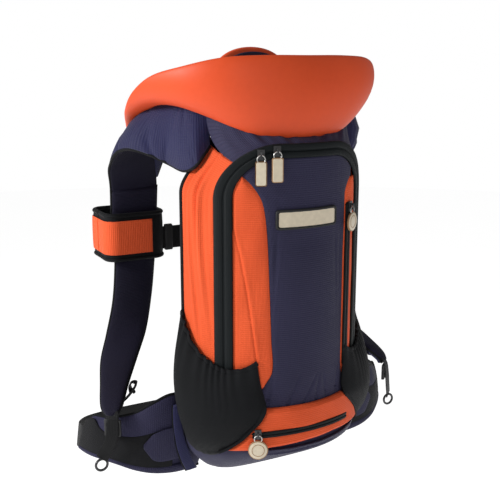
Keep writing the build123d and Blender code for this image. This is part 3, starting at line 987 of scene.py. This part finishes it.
def rails(rows):
    """Two edge curves through rows of point pairs given in millimetres."""
    near = [Vector(a) * MM for a, b in rows]
    far = [Vector(b) * MM for a, b in rows]
    return lambda t: (spline(near, t), spline(far, t))


def ribbon_frame(edges, t):
    """Middle, half width vector and face direction of a two-railed band at t."""
    a, b = edges(t)
    step = 0.004
    low, high = max(0, t - step), min(1, t + step)
    ahead = sum(edges(high), Vector()) - sum(edges(low), Vector())
    return (a + b) / 2, (b - a) / 2, ahead.cross(b - a).normalized()


def moulded(name, edges, thick, around, along, power=0.5, lift=None, end=0.03):
    """Closed band between two rails; thick and lift may vary over it, and its ends are rounded."""
    def place(u, v):
        middle, half, face = ribbon_frame(edges, v)
        c, s = squared(2 * pi * u, power)
        near = min(v, 1 - v) / end if end else 1
        shrink = sqrt(max(0, 1 - max(0, 1 - near) ** 2))
        depth = thick(v, c) if callable(thick) else thick
        rise = lift(v, c) if lift else 0
        reach = c * (1 - (1 - shrink) * 0.12) if end else c
        return middle + half * reach + face * (s * depth / 2 * shrink + rise)
    return tube(name, around, along, place)


SADDLE_HALF = [((0, -124, 463), (0, -132, 577)), ((52, -114, 466), (62, -124, 577)),
               ((92, -96, 480), (114, -104, 574)), ((120, -66, 495), (154, -66, 563)),
               ((136, -26, 507), (180, -12, 549)), ((140, 14, 515), (192, 32, 525)),
               ((142, 50, 513), (190, 70, 498)), ((144, 86, 492), (176, 108, 476)),
               ((143, 108, 466), (164, 128, 450))]


def mirrored(rows):
    return [((-a[0], a[1], a[2]), (-b[0], b[1], b[2])) for a, b in rows]


SADDLE_RAILS = rails(mirrored(SADDLE_HALF)[:0:-1] + SADDLE_HALF)


def foam(name, colour, deep):
    """Moulded foam: an even satin skin with a fine pebble and faint scuffs."""
    material, tree, shader = paint(name, 0.5, Specular_IOR_Level=0.3)
    pebble = object_noise(tree, 1400.0, 2.0)
    cloud = object_noise(tree, 10.0)
    scuff = object_noise(tree, 120.0, 4.0)
    rough = cloud * 0.12 + scuff * 0.1 + 0.38
    wire(tree, shader, mix(tree, (cloud * 0.6 + scuff * 0.4), deep, colour), pebble, rough,
         strength=0.12, distance=0.0002)
    return material


FOAM = foam("saddle_foam_skin", (0.74, 0.082, 0.017, 1), (0.60, 0.060, 0.012, 1))


def saddle_bulge(v, c):
    """The wall bows outwards between its two edges, most at the rear."""
    rear = 1 - abs(2 * v - 1)
    return (1 - c * c) * (0.004 + 0.006 * between(rear, [(0.1, 0), (0.5, 1)]))


shell = moulded("saddle_wall", SADDLE_RAILS, 0.0095, 40, 240, 0.75, saddle_bulge, 0.02)
belongs(shell, PACK, "saddle_foam", FOAM, "saddle_shell")


def lining_rails(t):
    a, b = SADDLE_RAILS(0.25 + 0.5 * t)
    return a + (b - a) * 0.2, a + (b - a) * 0.94


def lining_puff(v, c):
    ribs = abs(sin(pi * v * 9)) ** 0.5
    return 0.0035 + 0.0022 * ribs * (1 - c ** 4)


LINING = knitted("lining_knit", (0.034, 0.032, 0.062, 1), (0.020, 0.019, 0.040, 1), 0.0016, 0.75)
lining = moulded("saddle_lining_pad", lining_rails, lining_puff, 24, 200, 0.45,
                 lambda v, c: saddle_bulge(0.25 + 0.5 * v, c) - 0.0075, 0.03)
belongs(lining, PACK, "black_fabric", LINING, "saddle_lining")


def seat_bowl():
    def place(u, v):
        turn = 2 * pi * u
        c, s = squared(turn, 0.62)
        flat = min(1, v / 0.6)
        climb = max(0, (v - 0.6) / 0.4)
        half_x, half_y = 0.076 * flat + 0.036 * climb, 0.056 * flat + 0.005 * climb
        z = 0.4775 - 0.003 * cos(flat * pi / 2) + 0.030 * climb ** 1.5
        return Vector((half_x * c, -0.035 - 0.006 * climb + half_y * s, z))
    piece = sealed(laid_grid("seat_bowl", 72, 30, place))
    apply(piece, "SOLIDIFY", thickness=0.005, offset=0, use_even_offset=False)
    return belongs(piece, PACK, "frame_plastic", FOAM, "seat_pan")


seat_bowl()


def pommel_block(name, slot, material, node_name, half, foot, top, near, far):
    def place(u, v):
        c, s = squared(2 * pi * u, 0.5)
        z = foot + (top - foot) * (1 - (1 - v) ** 1.5)
        shoulder = 0.552
        wide = half - 0.006 + 0.006 * min(1, (z - foot) / 0.04)
        if z > shoulder:
            wide = half * sqrt(max(0, 1 - ((z - shoulder) / (top - shoulder)) ** 2))
        soft = sqrt(max(0, 1 - max(0, (z - (top - 0.006)) / 0.006) ** 2))
        return Vector((wide * c, (near + far) / 2 + (far - near) / 2 * s * max(soft, 0.02), z))
    piece = tube(name, 48, 70, place)
    return belongs(piece, PACK, slot, material, node_name)


pommel_block("pommel_foam", "saddle_foam", FOAM, "pommel", 0.062, 0.476, 0.590, 0.0265, 0.038)
pommel_block("pommel_pad", "black_fabric", LINING, "pommel_lining", 0.054, 0.509, 0.583, 0.0212, 0.0262)


# ---- Shoulder yokes and straps ----
# Each strap starts as a wide navy yoke sewn over the bag's shoulder, below the saddle.
# It runs over the wearer's shoulder and down the chest to the hip belt.
# Both faces are cloth over foam, joined edge to edge under a black piping.

YOKE = [((113, -46, 502), (106, -44, 452)), ((118, -40, 505), (119, -46, 437)), ((124, -32, 508), (129, -42, 423)),
        ((131, -16, 511), (137, -20, 416)), ((137, 6, 514), (146, 12, 423)), ((140, 28, 514), (167, 34, 435)),
        ((142, 48, 511), (188, 58, 442)), ((142, 68, 502), (197, 82, 437)), ((141, 86, 488), (200, 100, 427)),
        ((137, 106, 464), (198, 120, 414)), ((127, 126, 438), (196, 134, 400)),
        ((112, 151, 384), (188, 152, 372)), ((112, 154, 330), (188, 154, 330))]
YOKE_TOP = [((99, -30, 478), (118, -40, 505)), ((92, -10, 462), (124, -32, 508)), ((86, 4, 458), (131, -16, 511)),
            ((80, 22, 459), (137, 6, 514)), ((76, 42, 460), (140, 28, 514)), ((77, 58, 461), (142, 48, 511)),
            ((80, 76, 463), (142, 68, 502)), ((84, 92, 462), (141, 86, 488)), ((91, 112, 451), (137, 106, 464)),
            ((100, 132, 430), (127, 126, 438)), ((111, 151, 386), (114, 151, 386))]
YOKE_FOLDS = [(0.20, 0.05, 0.010), (0.31, -0.04, 0.012), (0.46, 0.06, 0.016), (0.62, 0.03, 0.012)]
RIGHT_YOKE_CROWN = [(0, 0.002), (0.10, 0.012), (0.19, 0.021), (0.30, 0.015), (0.45, 0.009), (0.7, 0.006),
                    (0.9, 0.001), (1, 0)]
YOKE_CROWN = [(0, 0.0005), (0.15, 0.003), (0.4, 0.008), (0.7, 0.006), (0.9, 0.001), (1, 0)]
STRAP = [((112, 151, 372), (188, 152, 368)), ((113, 154, 330), (187, 154, 330)),
         ((115, 155, 290), (184, 155, 290)), ((119, 155, 245), (184, 155, 245)),
         ((132, 138, 194), (196, 136, 190)), ((152, 114, 144), (214, 120, 140)),
         ((181, 79, 112), (232, 97, 108)), ((212, 37, 86), (247, 57, 84)), ((235, 4, 64), (258, 24, 62)),
         ((246, 2, 51), (254, 8, 50))]
STRAP_DARK = woven("strap_lining", (0.011, 0.009, 0.026, 1), (0.006, 0.005, 0.014, 1), 0.0030, 0.66, sheen=0.03)
STRAP_NAVY = woven("strap_face", (0.022, 0.023, 0.080, 1), (0.012, 0.012, 0.046, 1), 0.0036, 0.45, sheen=0.12)
PIPING = knitted("piping_black", (0.007, 0.008, 0.009, 1), (0.003, 0.003, 0.004, 1), 0.0012, 0.6)


def flipped(piece, side):
    """Left-hand copy: the piece mirrored through the middle of the pack."""
    if side < 0:
        for vertex in piece.data.vertices:
            vertex.co.x = -vertex.co.x
        open_edit(piece)
        bpy.ops.mesh.normals_make_consistent(inside=False)
        close_edit()
    return piece


def edge_piping(name, edges, far, radius, steps, deep=1.0):
    def path(t):
        a, b = edges(t)
        return b if far else a
    def face(t):
        return ribbon_frame(edges, t)[2]
    return strand(name, path, face, radius, radius * deep, 10, steps)


def strap_half(side, name, edges, depth, lift, material, slot, node_name, along, end=0.0, crown=None):
    def thick(v, c):
        return depth(v) * (0.72 + 0.28 * (1 - abs(c) ** 3))
    def raise_by(v, c):
        folds = sum(bump_at(v + lean * c, at, wide) for at, lean, wide in YOKE_FOLDS)
        wrinkle = -0.30 * through(v, crown) * folds if crown else 0
        high = through(v, crown) * (1 - c * c) if crown else 0
        return lift(v) * (0.55 + 0.45 * (1 - c * c)) - high - wrinkle
    piece = moulded(name, edges, thick, 36, along, 0.42, raise_by, end)
    return belongs(flipped(piece, side), PACK, slot, material, node_name)


def shoulder(side, hand):
    yoke, strap = rails(YOKE), rails(STRAP)
    crown = YOKE_CROWN if side < 0 else RIGHT_YOKE_CROWN
    yoke_deep = lambda v: 0.002 + 0.0055 * between(v, [(0.05, 0), (0.3, 0.6), (0.5, 1)])
    strap_half(side, hand + "_yoke_face", yoke, yoke_deep, lambda v: -yoke_deep(v) * 0.5, STRAP_NAVY, "navy_fabric",
               hand + "_yoke", 150, crown=crown)
    strap_half(side, hand + "_yoke_lining", yoke, yoke_deep, lambda v: yoke_deep(v) * 0.5, STRAP_DARK, "navy_fabric",
               hand + "_yoke", 150, crown=crown)
    top = moulded(hand + "_yoke_top", rails(YOKE_TOP), 0.007, 30, 120, 0.5, None, 0)
    belongs(flipped(top, side), PACK, "navy_fabric", STRAP_NAVY, hand + "_yoke")
    deep = lambda v: 0.0085
    strap_half(side, hand + "_strap_face", strap, deep, lambda v: -0.0042, STRAP_NAVY, "navy_fabric",
               hand + "_shoulder_strap", 150, 0.02)
    strap_half(side, hand + "_strap_lining", strap, deep, lambda v: 0.0042, STRAP_DARK, "navy_fabric",
               hand + "_shoulder_strap", 150, 0.02)
    for part, edges, far, steps in (("yoke_outer", yoke, True, 140), ("yoke_inner", rails(YOKE_TOP), False, 140),
                                    ("strap_outer", strap, True, 140), ("strap_inner", strap, False, 140)):
        line = edge_piping(hand + "_" + part + "_piping", edges, far, 0.0026, steps)
        belongs(flipped(line, side), PACK, "black_fabric", PIPING)


def seam_binding(side, hand):
    """Black binding over the seam between a gusset and the back wall."""
    def path(t):
        z = 0.060 + 0.388 * t
        return Vector((back_half(z) + 0.0005, BAG_BACK, z))
    piece = strand(hand + "_back_seam_binding", path, lambda t: Vector((1, 0, 0)), 0.0036, 0.0024, 10, 90)
    belongs(flipped(piece, side), PACK, "black_fabric", PIPING)


for side, hand in SIDES:
    shoulder(side, hand)
    seam_binding(side, hand)


# ---- Hip belt ----
# A padded wing leaves the foot of the bag on each side and ends at the side of the hips.
# Its outer face is navy above and hard-wearing black below, with a piped rim all round.
# A flat webbing runs on round the front to the buckle.

WING = [((114, -9, -50), (114, -9, 66)), ((140, -13, -50), (140, -13, 74)), ((165, -14, -49), (165, -14, 76)),
        ((192, -11, -45), (191, -11, 66)), ((215, -2, -39), (213, -2, 53)), ((236, 14, -32), (232, 15, 44)),
        ((253, 32, -28), (246, 34, 38)), ((265, 50, -27), (253, 47, 36)), ((271, 68, -27), (258, 60, 33)),
        ((274, 89, -27), (263, 75, 22))]
WING_DEEP = 0.016
PANEL_TOP = [(0.22, 0.60), (0.60, 0.64), (0.72, 0.76), (0.82, 0.94), (1, 0.97)]
WING_BLACK = woven("wing_cordura", (0.006, 0.006, 0.008, 1), (0.003, 0.003, 0.004, 1), 0.0020, 0.6, sheen=0.02)
WEBBING = ribbed("black_webbing", (0.006, 0.006, 0.007, 1), (0.003, 0.003, 0.0035, 1), 0.0016, 0.5)


def band_between(edges, start, stop, low, high):
    """Part of a band, from start to stop along it and from low to high across it."""
    def part(t):
        a, b = edges(start + (stop - start) * t)
        return a + (b - a) * low, a + (b - a) * high
    return part


STABILISER = [((150, -26, 66), (162, -22, 62)), ((150, -27, 40), (163, -24, 34)), ((146, -28, 8), (160, -26, 0)),
              ((137, -29, -22), (153, -28, -28)), ((126, -28, -46), (144, -27, -48))]


def stabiliser(side, hand):
    """Padded strip over the seam where the wing meets the bag."""
    edges = rails(STABILISER)
    strip = moulded(hand + "_stabiliser", edges, lambda v, c: 0.006, 24, 60, 0.5, None, 0.03)
    belongs(flipped(strip, side), PACK, "navy_fabric", STRAP_NAVY)
    line = edge_piping(hand + "_stabiliser_piping", band_between(edges, 0.01, 0.99, 0.0, 1.0), True, 0.0016, 60)
    belongs(flipped(line, side), PACK, "black_fabric", PIPING)


def wing(side, hand):
    edges = rails(WING)
    body = moulded(hand + "_wing_pad", edges, lambda v, c: WING_DEEP * (0.55 + 0.45 * (1 - c * c)), 36, 110, 0.5,
                   None, 0.05)
    belongs(flipped(body, side), PACK, "navy_fabric", NAVY, hand + "_hip_wing")
    def panel_edges(t):
        place = 0.22 + 0.76 * t
        a, b = edges(place)
        high = through(place, PANEL_TOP)
        return a + (b - a) * 0.08, a + (b - a) * high
    lower = moulded(hand + "_wing_lower_panel", panel_edges,
                    lambda v, c: 0.0022, 30, 90, 0.4, lambda v, c: 0.0085 - 0.001 * c * c, 0.02)
    belongs(flipped(lower, side), PACK, "black_fabric", WING_BLACK, hand + "_wing_panel")
    def tongue_edges(t):
        place = 0.16 + 0.235 * t
        a, b = edges(place)
        point = through(t, [(0, 0), (0.72, 0.02), (1, 1)])
        return a + (b - a) * (0.20 + 0.20 * point), a + (b - a) * (0.60 - 0.13 * point)
    tongue = moulded(hand + "_wing_tongue", tongue_edges, lambda v, c: 0.0020, 24, 50, 0.4,
                     lambda v, c: 0.0112 - 0.0008 * c * c, 0.03)
    belongs(flipped(tongue, side), PACK, "navy_fabric", NAVY)
    rim = moulded(hand + "_wing_lower_rim", band_between(edges, 0.08, 0.98, 0.0, 0.11),
                  lambda v, c: 0.0105, 20, 90, 0.7, lambda v, c: 0.004, 0.02)
    belongs(flipped(rim, side), PACK, "navy_fabric", NAVY)
    for far in (True, False):
        line = edge_piping(hand + ("_wing_upper_piping" if far else "_wing_lower_piping"),
                           band_between(edges, 0.01, 0.985, 0.0, 1.0), far, 0.0024, 110)
        belongs(flipped(line, side), PACK, "black_fabric", PIPING)


for side, hand in SIDES:
    wing(side, hand)
    stabiliser(side, hand)


def web_along(name, body, node_name, points, face, half_wide, side=1, steps=60):
    track = [Vector(p) * MM for p in points]
    piece = strand(name, lambda t: spline(track, t), face, half_wide, 0.0010, 20, steps, 0.35)
    return belongs(flipped(piece, side), body, "webbing", WEBBING, *([node_name] if node_name else []))


def belt_face(t):
    return Vector((cos(t * pi / 2), sin(t * pi / 2), 0.1))


BELT = [(268, 74, -8), (272, 97, -13), (265, 134, -24), (238, 178, -37), (190, 208, -47), (140, 217, -50),
        (90, 217, -50)]
web_along("left_belt_web", PACK, "belt_webbing", BELT + [(44, 217, -50)], belt_face, 0.019, -1, 120)
web_along("right_belt_web", PACK, "belt_webbing", [(x, y + 3.6, z) for x, y, z in BELT + [(4, 217, -50)]],
          belt_face, 0.019, 1, 120)
web_along("left_chest_web", PACK, "chest_webbing", [(104, 150, 283), (74, 150, 283), (44.5, 150, 283)],
          lambda t: Vector((0, 1, 0)), 0.019, -1)
web_along("right_chest_web", PACK, "chest_webbing", [(104, 153.6, 283), (54, 153.6, 283), (4, 153.6, 283)],
          lambda t: Vector((0, 1, 0)), 0.019)

PLASTIC = enamelled("buckle_acetal", (0.013, 0.013, 0.014, 1), 0.5, 0.0)
for name, body in (("chest_buckle_socket", PACK), ("chest_buckle_plug", "chest_plug"),
                   ("belt_buckle_socket", PACK), ("belt_buckle_plug", "belt_plug"),
                   ("left_ladder_lock", PACK), ("right_ladder_lock", PACK)):
    softened(name, body, "buckle_plastic", PLASTIC, 1.0 * MM)


def drop(side, hand):
    web_along(hand + "_drop_web", PACK, hand + "_drop_webbing",
              [(249, 3, 60), (251, -3, 48), (253, -5, 28), (257, -2, 10), (262, 3, -2), (266.5, 7.5, -14)],
              lambda t: Vector((0.60, -0.80, 0)), 0.0095, side, 80)
    recoat(hand + "_drop_ring", BLACK_ENAMEL)


def keeper(side, hand):
    """Spare webbing of the strap, folded back in a small loop beside its lower end."""
    loop = [(232, 20, 62), (220, 20, 70), (211, 20, 79), (205, 20, 88), (207, 22, 93), (212, 24, 90),
            (212, 26, 82), (208, 26, 74), (204, 25, 76)]
    web_along(hand + "_strap_tail", PACK, None, loop, lambda t: Vector((0.5, 0.2, 0.85)), 0.0045, side, 70)


def tri_glide(side, hand):
    """Moulded slider that sets the length of the chest webbing."""
    piece = added("cube", hand + "_chest_slider", size=1, scale=(0.014, 0.0075, 0.044),
                  location=(0.092, 0.152, 0.283))
    apply(piece, "BEVEL", width=0.0022, segments=3, limit_method="ANGLE", angle_limit=radians(40))
    close_edit_free(piece, 40)
    belongs(flipped(piece, side), PACK, "buckle_plastic", PLASTIC)


for side, hand in SIDES:
    drop(side, hand)
    keeper(side, hand)
    tri_glide(side, hand)


# ---- Ankle cuffs ----
# A padded loop stands on the chest of each strap, where the child's ankle goes.
# Its rear half is sewn to the strap and its front half opens like a gate.
# It is black padded knit with an orange panel wrapped round its outer side.

CUFF_X, CUFF_Y, CUFF_Z = 152 * MM, 180 * MM, 292 * MM
CUFF_HALF_X, CUFF_HALF_Y, CUFF_CORNER, CUFF_HALF_TALL = 50 * MM, 44 * MM, 20 * MM, 38 * MM
CUFF_KNIT = knitted("cuff_knit", (0.006, 0.007, 0.008, 1), (0.003, 0.003, 0.004, 1), 0.0015, 0.65)


def cuff_loop(t, out):
    """Point at t of half the loop, from its outer side round the rear to its inner side."""
    half_x, half_y = CUFF_HALF_X + out, CUFF_HALF_Y + out
    corner = CUFF_CORNER + out
    side_run, bend, back_run = half_y - corner, corner * pi / 2, 2 * (half_x - corner)
    run = t * (2 * side_run + 2 * bend + back_run)
    if run < side_run:
        return Vector((half_x, -run, 0)), Vector((1, 0, 0))
    run -= side_run
    if run < bend:
        a = run / corner
        out = Vector((cos(a), -sin(a), 0))
        return Vector((half_x - corner, -side_run, 0)) + out * corner, out
    run -= bend
    if run < back_run:
        return Vector((half_x - corner - run, -half_y, 0)), Vector((0, -1, 0))
    run -= back_run
    if run < bend:
        a = run / corner
        out = Vector((-sin(a), -cos(a), 0))
        return Vector((corner - half_x, -side_run, 0)) + out * corner, out
    return Vector((-half_x, run - bend - side_run, 0)), Vector((-1, 0, 0))


def cuff_band(name, side, facing, start, stop, low, high, thick, lift, power=0.5, ends=0.03):
    """Part of the loop's wall; facing is -1 for the rear half and 1 for the gate."""
    def place(u, v):
        point, out = cuff_loop(start + (stop - start) * v, -0.002)
        c, s = squared(2 * pi * u, power)
        near = min(v, 1 - v) / ends
        soft = sqrt(max(0, 1 - max(0, 1 - near) ** 2))
        z = (low + high) / 2 + (high - low) / 2 * c
        puff = thick / 2 * s * (0.75 + 0.25 * (1 - c * c)) * soft
        point = point + out * (lift + puff)
        return Vector((CUFF_X + point.x, CUFF_Y - facing * point.y, CUFF_Z + z))
    return flipped(tube(name, 28, 90, place), side)


def cuff(side, hand):
    back, gate = hand + "_cuff_back", hand + "_cuff_gate"
    for half, facing, body, seam in ((back, -1, PACK, 0.006), (gate, 1, gate, 0.006)):
        wall = cuff_band(half + "_knit", side, facing, seam, 1 - seam, -CUFF_HALF_TALL, CUFF_HALF_TALL, 0.0052, 0)
        belongs(wall, body, "black_fabric", CUFF_KNIT, half)
        stop = 0.655 if facing < 0 else 0.25
        panel = cuff_band(half + "_panel", side, facing, seam, stop, -0.0275, 0.0275, 0.0030, 0.0030, 0.4)
        belongs(panel, body, "orange_fabric", ORANGE)
        for z, part in ((CUFF_HALF_TALL - 0.002, "_upper_hem"), (0.002 - CUFF_HALF_TALL, "_lower_hem")):
            hem = cuff_band(half + part, side, facing, seam, 1 - seam, z - 0.0035, z + 0.0035, 0.0072, 0, 0.9)
            belongs(hem, body, "black_fabric", PIPING)


for side, hand in SIDES:
    cuff(side, hand)


# ---- Back, lumbar and seat pads ----
# Foam pads under black spacer mesh lie against the wearer's back and hips.
# Each is a sewn cushion with welded channels that let air through.
# The child's seat has a smaller cushion in the same knit.


def spacer_mesh():
    """Knitted spacer mesh: round holes about three millimetres apart, in black yarn."""
    material, tree, shader = paint("spacer_mesh", 0.75, Sheen_Weight=0.08, Sheen_Roughness=0.4,
                                   Specular_IOR_Level=0.15)
    place = node(tree, "ShaderNodeTexCoord", {}, out=3)
    cells = node(tree, "ShaderNodeTexVoronoi", {"feature": "F1"}, Vector=place, Scale=330.0, Randomness=0.15)
    drift = object_noise(tree, 20.0)
    shade = (cells * 0.9 + drift * 0.4 - 0.1).clamped()
    wire(tree, shader, mix(tree, shade, (0.005, 0.005, 0.006, 1), (0.030, 0.030, 0.034, 1)), cells,
         strength=0.6, distance=0.0006)
    return material


SPACER = spacer_mesh()
PUFF_CAP = 0.007
PAD_DEEP, PAD_CORNER = 0.0105, 0.026


def cushion(name, wide, tall, deep, corner, middle):
    """Rounded block, swollen by a short cloth simulation."""
    piece = added("cube", name, size=1, scale=(wide, deep, tall), location=middle)
    round_corners(piece, 1, deep / 2, corner, 8)
    apply(piece, "BEVEL", width=deep * 0.42, segments=4, limit_method="ANGLE", angle_limit=radians(50))
    apply(piece, "REMESH", mode="VOXEL", voxel_size=0.0045)
    rest = [vertex.co.copy() for vertex in piece.data.vertices]
    cloth_modifier = piece.modifiers.new("puff", "CLOTH")
    cloth_modifier.settings.use_pressure = True
    cloth_modifier.settings.uniform_pressure_force = 4
    cloth_modifier.settings.effector_weights.gravity = 0
    for step in range(1, 21):
        bpy.context.scene.frame_set(step)
    bpy.context.view_layer.objects.active = piece
    bpy.ops.object.modifier_apply(modifier=cloth_modifier.name)
    bpy.context.scene.frame_set(1)
    for vertex, start in zip(piece.data.vertices, rest):
        move = vertex.co - start
        if move.length > PUFF_CAP:
            vertex.co = start + move.normalized() * PUFF_CAP
    return piece


def finish_pad(piece, channels, slot, node_name, limits):
    apply(piece, "SUBSURF", levels=1, render_levels=1)
    for vertex in piece.data.vertices:
        channels(vertex.co)
        for axis, (low, high) in enumerate(limits):
            vertex.co[axis] = min(max(vertex.co[axis], low), high)
    close_edit_free(piece, 60)
    belongs(piece, PACK, slot, SPACER, node_name)


def back_channels(co):
    if co.y > -0.008:
        groove = bump_at(co.x, 0, 0.006) + bump_at(abs(co.x), 0.062, 0.004)
        for level in (0.135, 0.210, 0.285, 0.360):
            groove = max(groove, bump_at(co.z, level + 0.25 * abs(co.x), 0.004))
        co.y -= 0.006 * min(1, groove)


def lumbar_channels(co):
    if co.y > -0.008:
        co.y -= 0.005 * min(1, bump_at(abs(co.x), 0.040, 0.004) + bump_at(abs(co.x), 0.080, 0.004))


def seat_channels(co):
    if co.z > 0.486:
        co.z -= 0.003 * (bump_at(co.x, 0, 0.003) + bump_at(abs(co.x), 0.036, 0.003))


for part, wide, tall, centre_z, channels in (("back", 0.200, 0.362, 0.247, back_channels),
                                             ("lumbar", 0.216, 0.100, 0.002, lumbar_channels)):
    pad = cushion(part + "_cushion", wide, tall, PAD_DEEP, PAD_CORNER, (0, -0.0075, centre_z))
    finish_pad(pad, channels, "pad_mesh", part + "_pad", ((-1, 1), (-0.014, 0.004), (-1, 1)))


def seat_cushion():
    piece = cushion("seat_cushion", 0.128, 0.084, 0.009, PAD_CORNER, (0, 0, 0))
    turn = Matrix.Translation((0, -0.035, 0.486)) @ Matrix.Rotation(radians(90), 4, "X")
    settled(piece, turn)
    finish_pad(piece, seat_channels, "black_fabric", "seat_pad", ((-1, 1), (-1, 1), (0.4802, 0.496)))


seat_cushion()


# ---- Inner frame ----
# A plastic sheet and two aluminium stays behind the back pad carry the load.
# A dark anodised bracket is screwed to the stays and holds the saddle.


def plain_sheet():
    material, tree, shader = paint("frame_sheet_plastic", 0.55)
    grain = object_noise(tree, 500.0)
    wire(tree, shader, mix(tree, grain, (0.030, 0.030, 0.034, 1), (0.050, 0.050, 0.056, 1)), grain,
         strength=0.15, distance=0.0003)
    return material


recoat("frame_sheet", plain_sheet())
recoat("frame_stays", bare_metal("aluminium", (0.75, 0.76, 0.77, 1), 0.38))
recoat("saddle_bracket", bare_metal("bracket_aluminium", (0.16, 0.16, 0.17, 1), 0.45))
recoat("bracket_screws", STEEL)
